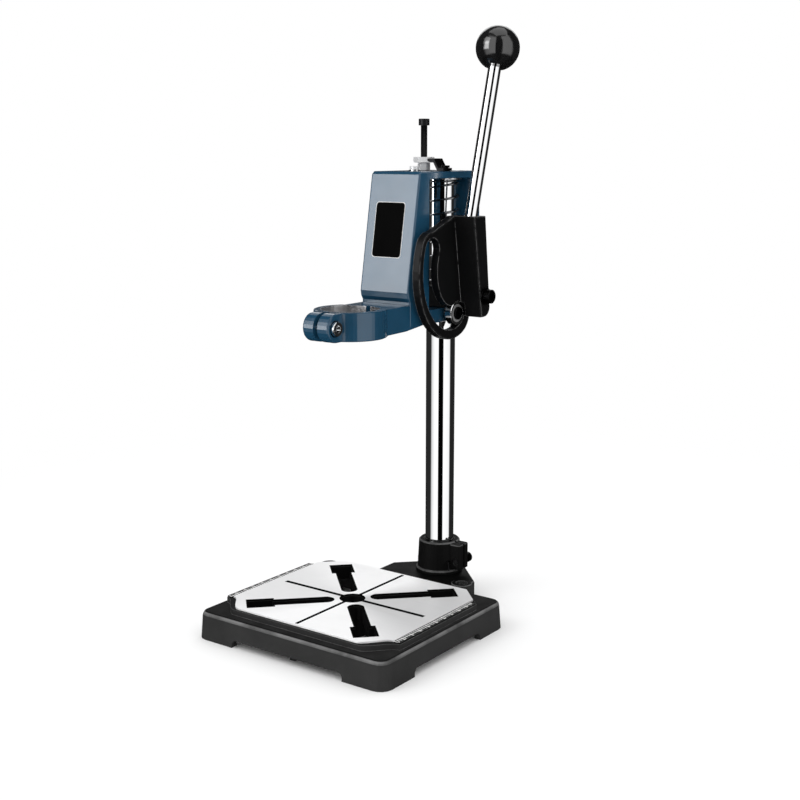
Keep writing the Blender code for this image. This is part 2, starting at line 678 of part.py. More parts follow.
def make_scale_strip(name, side):
    """Ruler strip beside the work plate, between the notch and the chamfer."""
    inner = TABLE_WIDTH / 2 - SCALE_WIDTH
    outer = TABLE_WIDTH / 2 - SEAT_GAP
    low_y = -REACH - TABLE_LENGTH / 2 + NOTCH_LENGTH + SEAT_GAP
    high_y = -REACH + TABLE_LENGTH / 2 - TABLE_CHAMFER - PLATE_MARGIN
    low = (min(side * inner, side * outer), low_y)
    high = (max(side * inner, side * outer), high_y)
    outline = rounded_box(low, high, SCALE_THICKNESS / 2, 2)
    return add_object(name, prism(outline, PLATE_BOTTOM, PLATE_BOTTOM + SCALE_THICKNESS), "scale")


def make_column_socket():
    """Split socket that grips the column's foot, with its clamping lug on the right."""
    profile = [(COLUMN_BORE, SOCKET_FOOT), (SOCKET_FLANGE_RADIUS, SOCKET_FOOT),
               (SOCKET_FLANGE_RADIUS, SOCKET_FOOT + SOCKET_FLANGE_HEIGHT - SOCKET_LIP),
               (SOCKET_FLANGE_RADIUS - SOCKET_LIP, SOCKET_FOOT + SOCKET_FLANGE_HEIGHT),
               (SOCKET_RADIUS_LOW, SOCKET_FOOT + SOCKET_FLANGE_HEIGHT + SOCKET_LIP),
               (SOCKET_RADIUS_TOP, SOCKET_TOP - SOCKET_LIP),
               (SOCKET_RADIUS_TOP - SOCKET_LIP, SOCKET_TOP), (COLUMN_BORE + SOCKET_LIP, SOCKET_TOP),
               (COLUMN_BORE, SOCKET_TOP - SOCKET_LIP)]
    socket = add_object("column_socket", revolve(profile, (0, 0)), "black_casting")
    lug = rounded_box((COLUMN_BORE + SOCKET_LUG_CORNER, -SOCKET_LUG_HALF_WIDTH),
                      (SOCKET_LUG_REACH, SOCKET_LUG_HALF_WIDTH), SOCKET_LUG_CORNER)
    lug_floor = SOCKET_FOOT + SOCKET_FLANGE_HEIGHT + SOCKET_LIP
    join(socket, prism(lug, lug_floor, SOCKET_TOP - SOCKET_LIP, bevel=SOCKET_LIP, bevel_ends="high"))
    half = SOCKET_SPLIT / 2
    split = [(0, -half), (SOCKET_LUG_REACH + CUT_OVERRUN, -half),
             (SOCKET_LUG_REACH + CUT_OVERRUN, half), (0, half)]
    cut(socket, prism(split, lug_floor - SOCKET_LIP, SOCKET_TOP + CUT_OVERRUN))
    reach = SOCKET_LUG_HALF_WIDTH + CUT_OVERRUN
    cut(socket, cylinder(socket_screw_centre(), M6["shank"] + SEAT_GAP, -reach, reach, "Y", SMALL_STEPS))
    for angle in bolt_places():
        centre = (SOCKET_BOLT_CIRCLE * math.cos(angle), SOCKET_BOLT_CIRCLE * math.sin(angle))
        top = socket_bolt_seat() + SOCKET_BOLT_LENGTH + SEAT_GAP
        cut(socket, cylinder(centre, M5["shank"] + SEAT_GAP, SOCKET_FOOT - CUT_OVERRUN, top,
                             steps=SMALL_STEPS))
    return socket


def socket_screw_centre():
    return (SOCKET_LUG_REACH - SOCKET_SCREW_INSET, SOCKET_FOOT + SOCKET_SCREW_HEIGHT)


def make_socket_fasteners():
    bolts = []
    for index, angle in enumerate(bolt_places()):
        centre = (SOCKET_BOLT_CIRCLE * math.cos(angle), SOCKET_BOLT_CIRCLE * math.sin(angle))
        seat = socket_bolt_seat() - SEAT_GAP
        tip = seat + SOCKET_BOLT_LENGTH
        bolts.append(cap_screw(f"socket_bolt_{index + 1}", M5, centre, tip, seat, "Z", "steel"))
    seat = SOCKET_LUG_HALF_WIDTH + SEAT_GAP
    screw = cap_screw("socket_clamp_screw", M6, socket_screw_centre(), -SOCKET_LUG_HALF_WIDTH, seat,
                      "Y", "black_steel")
    return bolts, screw


def make_column():
    """Chromed column tube, open at both ends."""
    inner = COLUMN_RADIUS - COLUMN_WALL
    bm = tube((0, 0), inner, COLUMN_RADIUS, COLUMN_FLOOR + SEAT_GAP, COLUMN_TOP,
              chamfer=COLUMN_CHAMFER)
    return add_object("column", bm, "chrome")


def make_clamp_block():
    """Block locked on the column inside the carriage: spring seat, stop pad and lever pivot."""
    block = add_object("clamp_block", cylinder((0, 0), CLAMP_RING_RADIUS, CLAMP_FLOOR, CLAMP_TOP),
                       "black_casting")
    pad = rounded_box((-CLAMP_BLOCK_LEFT, -CLAMP_BLOCK_FRONT), (CLAMP_BLOCK_RIGHT, -CLAMP_BLOCK_BACK),
                      CLAMP_CORNER)
    join(block, prism(pad, CLAMP_FLOOR, CLAMP_TOP))
    lug = rounded_box((-CLAMP_LUG_REACH, -CLAMP_LUG_HALF_WIDTH), (-COLUMN_RADIUS, CLAMP_LUG_HALF_WIDTH),
                      CLAMP_CORNER)
    join(block, prism(lug, CLAMP_FLOOR, CLAMP_TOP))
    pivot = (PIVOT.y, PIVOT.z)
    join(block, cylinder(pivot, PIVOT_BOSS_RADIUS, CLAMP_BLOCK_RIGHT - UNION_OVERLAP,
                         ROCKER_INNER - SEAT_GAP, "X", SMALL_STEPS))
    cut(block, cylinder((0, 0), COLUMN_BORE, CLAMP_FLOOR - CUT_OVERRUN, CLAMP_TOP + CUT_OVERRUN))
    half = CLAMP_SPLIT / 2
    split = [(-CLAMP_LUG_REACH - CUT_OVERRUN, -half), (0, -half), (0, half),
             (-CLAMP_LUG_REACH - CUT_OVERRUN, half)]
    cut(block, prism(split, CLAMP_FLOOR - CUT_OVERRUN, CLAMP_TOP + CUT_OVERRUN))
    cut(block, cylinder(pivot, M8["shank"] + SEAT_GAP, ROCKER_INNER - PIVOT_SEAT_DEPTH,
                        ROCKER_INNER + CUT_OVERRUN, "X", SMALL_STEPS))
    reach = CLAMP_LUG_HALF_WIDTH + CUT_OVERRUN
    cut(block, cylinder(clamp_screw_centre(), M6["shank"] + SEAT_GAP, -reach, reach, "Y", SMALL_STEPS))
    return block


def clamp_screw_centre():
    return (CLAMP_SCREW_INSET - CLAMP_LUG_REACH, CLAMP_MIDDLE)


def make_clamp_screw():
    seat = -CLAMP_LUG_HALF_WIDTH - SEAT_GAP
    return cap_screw("clamp_screw", M6, clamp_screw_centre(), CLAMP_LUG_HALF_WIDTH, seat, "Y",
                     "black_steel")


def carriage_profile():
    """Side outline of the carriage frame: sloping front, lip over the arm, rounded back."""
    slope_x = FRONT_LOW_REACH - FRONT_TOP_REACH
    slope_z = CARRIAGE_TOP - FRONT_LOW_HEIGHT
    length = math.hypot(slope_x, slope_z)
    down = (-slope_x / length, -slope_z / length)
    front_top = (-FRONT_TOP_REACH, CARRIAGE_TOP)
    front_low = (-FRONT_LOW_REACH, FRONT_LOW_HEIGHT)
    foot = -FRONT_LOW_REACH + FRONT_LIP
    back_arc = arc((BACK_REACH - BACK_ROUND, CARRIAGE_TOP - BACK_ROUND), BACK_ROUND,
                   0, math.pi / 2, 2 * CORNER_STEPS)
    return [(front_top[0] + FRONT_CORNER, front_top[1]),
            (front_top[0] + down[0] * FRONT_CORNER, front_top[1] + down[1] * FRONT_CORNER),
            (front_low[0] - down[0] * FRONT_CORNER, front_low[1] - down[1] * FRONT_CORNER),
            (front_low[0] + FRONT_CORNER / 2, front_low[1] - FRONT_CORNER),
            (foot, front_low[1] - FRONT_CORNER - FRONT_LIP),
            (foot, CARRIAGE_FLOOR), (BACK_REACH, CARRIAGE_FLOOR), *back_arc]


def collar_outline():
    """Plan of the collar, with fillets where the arm leaves it and a short stub of arm."""
    side = CARRIAGE_HALF_WIDTH
    fillet_x = side + COLLAR_FILLET
    span = COLLAR_RADIUS + COLLAR_FILLET
    fillet_y = math.sqrt(span * span - fillet_x * fillet_x)
    tangent = math.atan2(fillet_y, fillet_x)
    right = arc((fillet_x, fillet_y), COLLAR_FILLET, math.pi, math.pi + tangent, CORNER_STEPS)
    ring = arc((0, 0), COLLAR_RADIUS, tangent, -math.pi - tangent, ROUND_STEPS)
    left = [(-x, y) for x, y in reversed(right)]
    root = side - UNION_OVERLAP
    stub = fillet_y + UNION_OVERLAP
    outline = [(root, stub)] + right + ring[1:-1] + left + [(-root, stub)]
    return [(x, y - REACH) for x, y in outline], fillet_y - REACH


def make_carriage():
    """Sliding frame cast in one with its arm and the split collar that holds the drill."""
    carriage = add_object("carriage", prism(carriage_profile(), -CARRIAGE_HALF_WIDTH,
                                            CARRIAGE_HALF_WIDTH, "X", CARRIAGE_BEVEL), "blue_casting")
    outline, arm_start = collar_outline()
    arm_top = COLLAR_TOP - COLLAR_FACE_STEP
    arm = [(-WINDOW_REACH - UNION_OVERLAP, CARRIAGE_FLOOR + COLLAR_FACE_STEP),
           (-WINDOW_REACH - UNION_OVERLAP, arm_top), (arm_start - UNION_OVERLAP, arm_top),
           (arm_start - UNION_OVERLAP, COLLAR_FLOOR + COLLAR_FACE_STEP),
           (-FRONT_LOW_REACH, COLLAR_FLOOR + COLLAR_FACE_STEP * 2)]
    arm_half = CARRIAGE_HALF_WIDTH - SEAT_GAP
    join(carriage, prism(arm, -arm_half, arm_half, "X", CARRIAGE_BEVEL))
    join(carriage, prism(outline, COLLAR_FLOOR, COLLAR_TOP, bevel=COLLAR_BEVEL))
    nose = COLLAR_HEIGHT / 2
    ear_middle = -REACH - EAR_REACH
    ear = arc((ear_middle, COLLAR_MIDDLE), nose, math.pi / 2, 3 * math.pi / 2, 3 * CORNER_STEPS)
    ear += [(-REACH - COLLAR_BORE_RADIUS + UNION_OVERLAP, COLLAR_FLOOR),
            (-REACH - COLLAR_BORE_RADIUS + UNION_OVERLAP, COLLAR_TOP)]
    join(carriage, prism(ear, -EAR_HALF_WIDTH, EAR_HALF_WIDTH, "X", CARRIAGE_BEVEL))
    window = rounded_box((-WINDOW_REACH, WINDOW_FLOOR), (BACK_REACH - BACK_WALL, WINDOW_TOP),
                         WINDOW_CORNER)
    side = CARRIAGE_HALF_WIDTH + CUT_OVERRUN
    cut(carriage, prism(window, -side, side, "X"))
    bush_bore = BUSH_RADIUS + SEAT_GAP
    cut(carriage, cylinder((0, 0), bush_bore, WINDOW_TOP - CUT_OVERRUN, CARRIAGE_TOP + CUT_OVERRUN))
    cut(carriage, cylinder((0, 0), bush_bore, CARRIAGE_FLOOR - CUT_OVERRUN, WINDOW_FLOOR + CUT_OVERRUN))
    low = COLLAR_FLOOR - CUT_OVERRUN
    high = COLLAR_TOP + CUT_OVERRUN
    cut(carriage, cylinder((0, -REACH), COLLAR_BORE_RADIUS, low, high))
    relief = rounded_box((-RELIEF_WIDTH / 2, -REACH), (RELIEF_WIDTH / 2, COLLAR_BORE_RADIUS
                                                       + RELIEF_DEPTH - REACH), RELIEF_WIDTH / 4)
    cut(carriage, prism(relief, low, high))
    half = COLLAR_SPLIT / 2
    tip = ear_middle - nose - CUT_OVERRUN
    split = [(-half, tip), (half, tip), (half, -REACH), (-half, -REACH)]
    cut(carriage, prism(split, low, high))
    screw = collar_screw_centre()
    edge = EAR_HALF_WIDTH + CUT_OVERRUN
    cut(carriage, cylinder(screw, M8["shank"] + SEAT_GAP, -edge, edge, "X", SMALL_STEPS))
    cut(carriage, cylinder(screw, M8["head"] + 2 * SEAT_GAP, EAR_HALF_WIDTH - COUNTERBORE_DEPTH, edge,
                           "X", SMALL_STEPS))
    top_low = WINDOW_TOP - CUT_OVERRUN
    top_high = CARRIAGE_TOP + CUT_OVERRUN
    cut(carriage, cylinder((0, -STOP_REACH), M6["shank"] + SEAT_GAP, top_low, top_high,
                           steps=SMALL_STEPS))
    cut(carriage, cylinder((0, -TOP_BOLT_REACH), M5["shank"] + SEAT_GAP, top_low, top_high,
                           steps=SMALL_STEPS))
    for centre in bracket_screw_places():
        cut(carriage, cylinder(centre, M3["shank"] + SEAT_GAP, top_low, top_high, steps=SMALL_STEPS))
    cut(carriage, cylinder((FOLLOWER.y, FOLLOWER.z), M6["shank"] + SEAT_GAP,
                           CARRIAGE_HALF_WIDTH - ROLLER_SCREW_DEPTH, side, "X", SMALL_STEPS))
    return carriage


def collar_screw_centre():
    return (-REACH - EAR_SCREW_REACH, COLLAR_MIDDLE)


def make_collar_screw():
    seat = EAR_HALF_WIDTH - COUNTERBORE_DEPTH + SEAT_GAP
    return cap_screw("collar_screw", M8, collar_screw_centre(), -EAR_HALF_WIDTH + CARRIAGE_BEVEL, seat,
                     "X", "chrome")


def make_bushes():
    """Flanged bush in the top plate, which the spring bears on, and a plain one below."""
    flange = BUSH_RADIUS + BUSH_FLANGE
    upper = [(COLUMN_BORE, BUSH_FLANGE_FLOOR), (flange, BUSH_FLANGE_FLOOR),
             (flange, WINDOW_TOP - SEAT_GAP), (BUSH_RADIUS, WINDOW_TOP - SEAT_GAP),
             (BUSH_RADIUS, CARRIAGE_TOP - SEAT_GAP), (COLUMN_BORE, CARRIAGE_TOP - SEAT_GAP)]
    upper_bush = add_object("upper_bush", revolve(upper, (0, 0)), "steel")
    lower_bush = add_object("lower_bush", tube((0, 0), COLUMN_BORE, BUSH_RADIUS,
                                               CARRIAGE_FLOOR + SEAT_GAP, WINDOW_FLOOR - SEAT_GAP),
                            "bronze")
    return upper_bush, lower_bush


def spring_points():
    """Centre line of the compression spring: close end turns and open ones between."""
    low = CLAMP_TOP + SEAT_GAP + SPRING_WIRE / 2
    high = BUSH_FLANGE_FLOOR - SEAT_GAP - SPRING_WIRE / 2
    end_rise = SPRING_END_TURNS * SPRING_END_PITCH
    open_pitch = (high - low - 2 * end_rise) / SPRING_ACTIVE_TURNS
    turns = SPRING_ACTIVE_TURNS + 2 * SPRING_END_TURNS
    points = []
    for index in range(turns * SPRING_POINTS_PER_TURN + 1):
        turn = index / SPRING_POINTS_PER_TURN
        opened = min(max(turn - SPRING_END_TURNS, 0), SPRING_ACTIVE_TURNS)
        level = low + opened * open_pitch + (turn - opened) * SPRING_END_PITCH
        angle = turn * math.tau
        points.append(Vector((SPRING_RADIUS * math.cos(angle), SPRING_RADIUS * math.sin(angle), level)))
    return points


def report_spring_gap(points):
    """Print the least gap between points at least half a turn apart along the wire."""
    apart = SPRING_POINTS_PER_TURN // 2
    least = min((points[i] - points[j]).length
                for i in range(len(points)) for j in range(i + apart, len(points)))
    print(f"spring: least gap to itself {(least - SPRING_WIRE) * 1000:.2f} mm")


def make_spring():
    """Return spring, one unbroken round wire."""
    points = spring_points()
    report_spring_gap(points)
    curve = bpy.data.curves.new("spring", "CURVE")
    curve.dimensions = "3D"
    curve.bevel_depth = SPRING_WIRE / 2
    curve.bevel_resolution = 1
    curve.use_fill_caps = True
    wire = curve.splines.new("POLY")
    wire.points.add(len(points) - 1)
    for target, point in zip(wire.points, points):
        target.co = (*point, 1)
    spring = bpy.data.objects.new("spring", curve)
    curve.materials.append(finish("steel"))
    bpy.context.scene.collection.objects.link(spring)
    return spring


def follower_path(swing):
    """Place of the roller's centre as the rocker sees it, when the lever has swung this far."""
    drop = STROKE * swing / LEVER_SWING
    away = FOLLOWER - PIVOT - Vector((0, 0, drop))
    turned = Matrix.Rotation(-swing, 3, "X") @ away
    return PIVOT + turned


def cam_offset(swing, distance):
    """A point beside the follower's path, on its outer side for a positive distance."""
    nudge = LEVER_SWING / CAM_STEPS / 10
    along = (follower_path(swing + nudge) - follower_path(swing - nudge)).normalized()
    place_on_path = follower_path(swing)
    return (place_on_path.y + along.z * distance * -1, place_on_path.z + along.y * distance)


def cam_direction(swing):
    """Angle of the outer side's normal in the Y-Z plane."""
    centre = follower_path(swing)
    side = cam_offset(swing, 1)
    return math.atan2(side[1] - centre.z, side[0] - centre.y)


def cam_side(distance):
    return [cam_offset(LEVER_SWING * step / CAM_STEPS, distance) for step in range(CAM_STEPS + 1)]


def cam_slot_outline():
    """The slot that the roller drives in: an even band along its path, with round ends."""
    start = follower_path(0)
    end = follower_path(LEVER_SWING)
    first = cam_direction(0)
    last = cam_direction(LEVER_SWING)
    outer = cam_side(SLOT_HALF_WIDTH)
    inner = cam_side(-SLOT_HALF_WIDTH)
    end_cap = arc((end.y, end.z), SLOT_HALF_WIDTH, last, last - math.pi, 2 * CORNER_STEPS)
    start_cap = arc((start.y, start.z), SLOT_HALF_WIDTH, first + math.pi, first, 2 * CORNER_STEPS)
    return outer + end_cap[1:-1] + inner[::-1] + start_cap[1:-1]


def cam_wall(swing):
    """Metal left round the slot, thicker at its low end."""
    return CAM_WALL_LOW + (CAM_WALL_HIGH - CAM_WALL_LOW) * swing / LEVER_SWING


def rocker_outline():
    """Side outline of the rocker plate: loop round the slot, then the lever block's back."""
    start = follower_path(0)
    end = follower_path(LEVER_SWING)
    first = cam_direction(0)
    last = cam_direction(LEVER_SWING)
    loop = []
    for step in range(CAM_STEPS + 1):
        swing = LEVER_SWING * step / CAM_STEPS
        loop.append(cam_offset(swing, SLOT_HALF_WIDTH + cam_wall(swing)))
    start_cap = arc((start.y, start.z), SLOT_HALF_WIDTH + CAM_WALL_LOW, math.tau if first > 0 else 0,
                    first, 2 * CORNER_STEPS)
    end_cap = arc((end.y, end.z), SLOT_HALF_WIDTH + CAM_WALL_HIGH, last if last > 0 else last + math.tau,
                  math.pi / 2, 2 * CORNER_STEPS)
    back = [(-BLOCK_FRONT_TOP, ROCKER_TOP), (-BLOCK_BACK_TOP, ROCKER_TOP)]
    return start_cap[:-1] + loop + end_cap[1:] + back + block_heel()[:CORNER_STEPS]


def block_heel():
    """Round lower back corner of the lever block."""
    centre = (-BLOCK_BACK_LOW - HEEL_RADIUS, BLOCK_FLOOR + HEEL_RADIUS)
    return arc(centre, HEEL_RADIUS, math.pi / 12, -math.pi / 2, 2 * CORNER_STEPS)


def block_outline():
    """Side outline of the thick lever block."""
    return [(-BLOCK_FRONT_LOW, BLOCK_FLOOR), (-BLOCK_FRONT_TOP, ROCKER_TOP),
            (-BLOCK_BACK_TOP, ROCKER_TOP), *block_heel()]


def lever_direction():
    return Vector((0, math.sin(ROD_LEAN), math.cos(ROD_LEAN)))


def rod_entry():
    return Vector((ROD_SIDE, -ROD_ENTRY_REACH, ROCKER_TOP))


def knob_centre():
    travel = (KNOB_HEIGHT - ROCKER_TOP) / math.cos(ROD_LEAN)
    return rod_entry() + lever_direction() * travel


def tilt(bm, entry):
    """Turn a shape built upright on the origin so that it lies along the lever."""
    turn = Matrix.Translation(entry) @ Matrix.Rotation(-ROD_LEAN, 4, "X")
    bmesh.ops.transform(bm, matrix=turn, verts=bm.verts)
    return bm


def make_rocker():
    """Cast rocker: cam plate with its slot, and the block that takes the lever and the pivot."""
    rocker = add_object("rocker", prism(rocker_outline(), ROCKER_INNER, ROCKER_FACE, "X",
                                        ROCKER_BEVEL, "high"), "black_casting")
    join(rocker, prism(block_outline(), ROCKER_FACE - ROCKER_BEVEL - UNION_OVERLAP, BLOCK_FACE, "X",
                       ROCKER_BEVEL, "high"))
    cut(rocker, prism(cam_slot_outline(), ROCKER_INNER - CUT_OVERRUN, ROCKER_FACE + CUT_OVERRUN, "X"))
    cut(rocker, cylinder((PIVOT.y, PIVOT.z), PIVOT_BUSH_RADIUS + SEAT_GAP,
                         ROCKER_INNER - CUT_OVERRUN, BLOCK_FACE + CUT_OVERRUN, "X", SMALL_STEPS))
    stud = STUD_RADIUS + SEAT_GAP
    end = -ROD_SEAT_DEPTH - STUD_LENGTH - SEAT_GAP
    hole = [(stud, end), (stud, -ROD_SEAT_DEPTH), (ROD_RADIUS + SEAT_GAP, -ROD_SEAT_DEPTH),
            (ROD_RADIUS + SEAT_GAP, CUT_OVERRUN)]
    cut(rocker, tilt(turned(hole, (0, 0)), rod_entry()))
    return rocker


def make_lever():
    """Pivot bush, chromed rod and ball knob."""
    bush = add_object("pivot_bush", tube((PIVOT.y, PIVOT.z), M8["shank"] + RUN_GAP, PIVOT_BUSH_RADIUS,
                                         ROCKER_INNER, BLOCK_FACE, "X", SMALL_STEPS), "bronze")
    reach = (knob_centre() - rod_entry()).length
    rod_end = reach - KNOB_RADIUS + KNOB_SEAT_DEPTH
    seat = SEAT_GAP - ROD_SEAT_DEPTH
    form = [(STUD_RADIUS - ROD_CHAMFER, seat - STUD_LENGTH),
            (STUD_RADIUS, seat - STUD_LENGTH + ROD_CHAMFER), (STUD_RADIUS, seat), (ROD_RADIUS, seat),
            (ROD_RADIUS, rod_end - ROD_CHAMFER), (ROD_RADIUS - ROD_CHAMFER, rod_end)]
    rod = add_object("lever_rod", tilt(turned(form, (0, 0)), rod_entry()), "chrome")
    knob = add_object("ball_knob", tilt(knob_form(), knob_centre()), "gloss_black")
    seat = KNOB_SEAT_DEPTH - KNOB_RADIUS + SEAT_GAP
    socket = cylinder((0, 0), ROD_RADIUS + SEAT_GAP, -KNOB_RADIUS - CUT_OVERRUN, seat, steps=SMALL_STEPS)
    cut(knob, tilt(socket, knob_centre()))
    return bush, rod, knob


def knob_form():
    """Ball with a small flat where the rod enters."""
    flat = math.asin(KNOB_FLAT / KNOB_RADIUS)
    outline = arc((0, 0), KNOB_RADIUS, flat - math.pi / 2, math.pi / 2, ROUND_STEPS // 2)
    profile = [(0, outline[0][1])] + outline[:-1] + [(0, KNOB_RADIUS)]
    bm = bmesh.new()
    corners = [bm.verts.new((radius, 0, level)) for radius, level in profile]
    edges = [bm.edges.new(pair) for pair in zip(corners, corners[1:])]
    bmesh.ops.spin(bm, geom=corners + edges, cent=(0, 0, 0), axis=(0, 0, 1), dvec=(0, 0, 0),
                   angle=math.tau, steps=ROUND_STEPS, use_merge=True, use_duplicate=False)
    return bm


def make_pivot_fasteners():
    washer_low = BLOCK_FACE + SEAT_GAP
    washer_high = washer_low + WASHER_THICKNESS
    centre = (PIVOT.y, PIVOT.z)
    washer = add_object("pivot_washer", tube(centre, M8["shank"] + SEAT_GAP, M8["head"] + WASHER_MARGIN,
                                             washer_low, washer_high, "X", SMALL_STEPS), "black_steel")
    tip = ROCKER_INNER - PIVOT_SEAT_DEPTH + SEAT_GAP
    low_head = dict(M8, head_height=M6["head_height"])
    bolt = cap_screw("pivot_bolt", low_head, centre, tip, washer_high + SEAT_GAP, "X", "black_steel")
    return washer, bolt


def make_follower():
    """Ball-bearing follower on the carriage's side, with its screw and spacer."""
    centre = (FOLLOWER.y, FOLLOWER.z)
    race = ROLLER_RADIUS - ROLLER_RACE
    chamfer = ROLLER_RACE / 4
    ring = add_object("roller_ring", tube(centre, race, ROLLER_RADIUS, ROLLER_INNER, ROLLER_OUTER, "X",
                                          ROUND_STEPS, chamfer), "chrome")
    inner = add_object("roller_inner", tube(centre, M8["shank"] + SEAT_GAP, race - RUN_GAP,
                                            ROLLER_INNER + SEAT_GAP, ROLLER_OUTER - SEAT_GAP, "X",
                                            ROUND_STEPS), "seal")
    spacer = add_object("roller_spacer", tube(centre, M8["shank"] + SEAT_GAP, ROLLER_SPACER_RADIUS,
                                              CARRIAGE_HALF_WIDTH + SEAT_GAP,
                                              ROLLER_INNER - SEAT_GAP, "X", SMALL_STEPS), "steel")
    size = dict(M6, head=ROLLER_SCREW_HEAD_RADIUS, head_height=ROLLER_SCREW_HEAD)
    screw = cap_screw("roller_screw", size, centre,
                      CARRIAGE_HALF_WIDTH - ROLLER_SCREW_DEPTH + SEAT_GAP, ROLLER_OUTER, "X",
                      "black_steel")
    join(screw, cylinder(centre, M8["shank"], CARRIAGE_HALF_WIDTH + SEAT_GAP, ROLLER_OUTER + SEAT_GAP,
                         "X", SMALL_STEPS))
    return ring, inner, spacer, screw


def bracket_screw_places():
    """Two small screws through the bracket's foot."""
    side = (BRACKET_FOOT_START + CARRIAGE_HALF_WIDTH) / 2
    step = BRACKET_HALF_WIDTH / 2
    return [(side, -STOP_REACH - step), (side, -STOP_REACH + step)]


def make_stop_bracket():
    """Bent strap: its arm holds a flat of the stop nut, and its foot is screwed to the top plate."""
    foot = CARRIAGE_TOP + SEAT_GAP
    arm = STOP_NUT_HEIGHT + (STOP_NUT_THICKNESS - BRACKET_THICKNESS) / 2
    start = STOP_NUT_ACROSS / 2 + SEAT_GAP
    outer = CARRIAGE_HALF_WIDTH - BRACKET_FOOT_INSET
    bend = BRACKET_THICKNESS / 2
    outline = [(start, arm), (BRACKET_ARM_END, arm), (BRACKET_FOOT_START, foot), (outer, foot),
               (outer, foot + BRACKET_THICKNESS), (BRACKET_FOOT_START + bend, foot + BRACKET_THICKNESS),
               (BRACKET_ARM_END + bend, arm + BRACKET_THICKNESS), (start, arm + BRACKET_THICKNESS)]
    low = -STOP_REACH - BRACKET_HALF_WIDTH
    bracket = add_object("stop_bracket", prism(outline, low, low + 2 * BRACKET_HALF_WIDTH, "Y"),
                         "black_steel")
    for centre in bracket_screw_places():
        cut(bracket, cylinder(centre, M3["shank"] + SEAT_GAP, foot - CUT_OVERRUN,
                              foot + BRACKET_THICKNESS + CUT_OVERRUN, steps=SMALL_STEPS))
    return bracket


def make_depth_stop():
    """Stop screw with its two nuts, the bracket, its screws and the bolt in front."""
    centre = (0, -STOP_REACH)
    screw = cap_screw("depth_screw", M6, centre, STOP_TIP, STOP_HEAD_HEIGHT, "Z", "black_steel")
    bore = M6["shank"] + SEAT_GAP
    lock_nut = hex_nut("stop_lock_nut", M6_NUT_ACROSS, bore, centre, CARRIAGE_TOP + SEAT_GAP,
                       STOP_NUT_HEIGHT - SEAT_GAP, "chrome")
    stop_nut = hex_nut("stop_hex_nut", STOP_NUT_ACROSS, bore, centre, STOP_NUT_HEIGHT,
                       STOP_NUT_HEIGHT + STOP_NUT_THICKNESS, "chrome")
    bracket = make_stop_bracket()
    small = []
    seat = CARRIAGE_TOP + BRACKET_THICKNESS + 2 * SEAT_GAP
    for index, place_at in enumerate(bracket_screw_places()):
        small.append(cap_screw(f"bracket_screw_{index + 1}", M3, place_at, WINDOW_TOP + SEAT_GAP, seat,
                               "Z", "black_steel"))
    bolt_centre = (0, -TOP_BOLT_REACH)
    washer_low = CARRIAGE_TOP + SEAT_GAP
    washer_high = washer_low + WASHER_THICKNESS / 2
    washer = add_object("top_washer", tube(bolt_centre, M5["shank"] + SEAT_GAP,
                                           M5["head"] + WASHER_MARGIN / 2, washer_low, washer_high,
                                           steps=SMALL_STEPS), "chrome")
    bolt = cap_screw("top_bolt", dict(M5, head_height=TOP_BOLT_HEAD_HEIGHT), bolt_centre,
                     WINDOW_TOP + SEAT_GAP, washer_high + SEAT_GAP, "Z", "chrome")
    return screw, [stop_nut, lock_nut, bracket, washer, bolt, *small]


def build_stand():
    """Make every piece and hang it on the body that carries it."""
    clear_scene()
    make_base_casting()
    make_work_plate()
    make_scale_strip("scale_strip_left", -1)
    make_scale_strip("scale_strip_right", 1)
    make_column_socket()
    socket_bolts, socket_screw = make_socket_fasteners()
    column_body = body_frame("column_body", (0, 0, SOCKET_TOP))
    head_body = body_frame("head_body", (0, 0, CLAMP_MIDDLE), column_body)
    carriage_body = body_frame("carriage_body", (0, 0, WINDOW_FLOOR), head_body)
    lever_body = body_frame("lever_body", PIVOT, head_body)
    attach(make_column(), column_body)
    screw_centre = socket_screw_centre()
    move_origin(socket_screw, (screw_centre[0], 0, screw_centre[1]))
    clamp_screw = make_clamp_screw()
    clamp_centre = clamp_screw_centre()
    move_origin(clamp_screw, (clamp_centre[0], 0, clamp_centre[1]))
    for piece in (make_clamp_block(), clamp_screw, make_spring(), *make_pivot_fasteners()):
        attach(piece, head_body)
    ring, inner, spacer, roller_screw = make_follower()
    move_origin(ring, FOLLOWER)
    collar_screw = make_collar_screw()
    move_origin(collar_screw, (0, -REACH - EAR_SCREW_REACH, COLLAR_MIDDLE))
    depth_screw, stop_parts = make_depth_stop()
    move_origin(depth_screw, (0, -STOP_REACH, STOP_HEAD_HEIGHT))
    for piece in (make_carriage(), *make_bushes(), ring, inner, spacer, roller_screw, collar_screw,
                  depth_screw, *stop_parts):
        attach(piece, carriage_body)
    for piece in (make_rocker(), *make_lever()):
        attach(piece, lever_body)
    bpy.context.view_layer.update()


build_stand()
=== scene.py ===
"""Looks, light and camera for the drill stand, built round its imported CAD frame."""
import json
import math

import bmesh
import bpy
from mathutils import Matrix, Vector


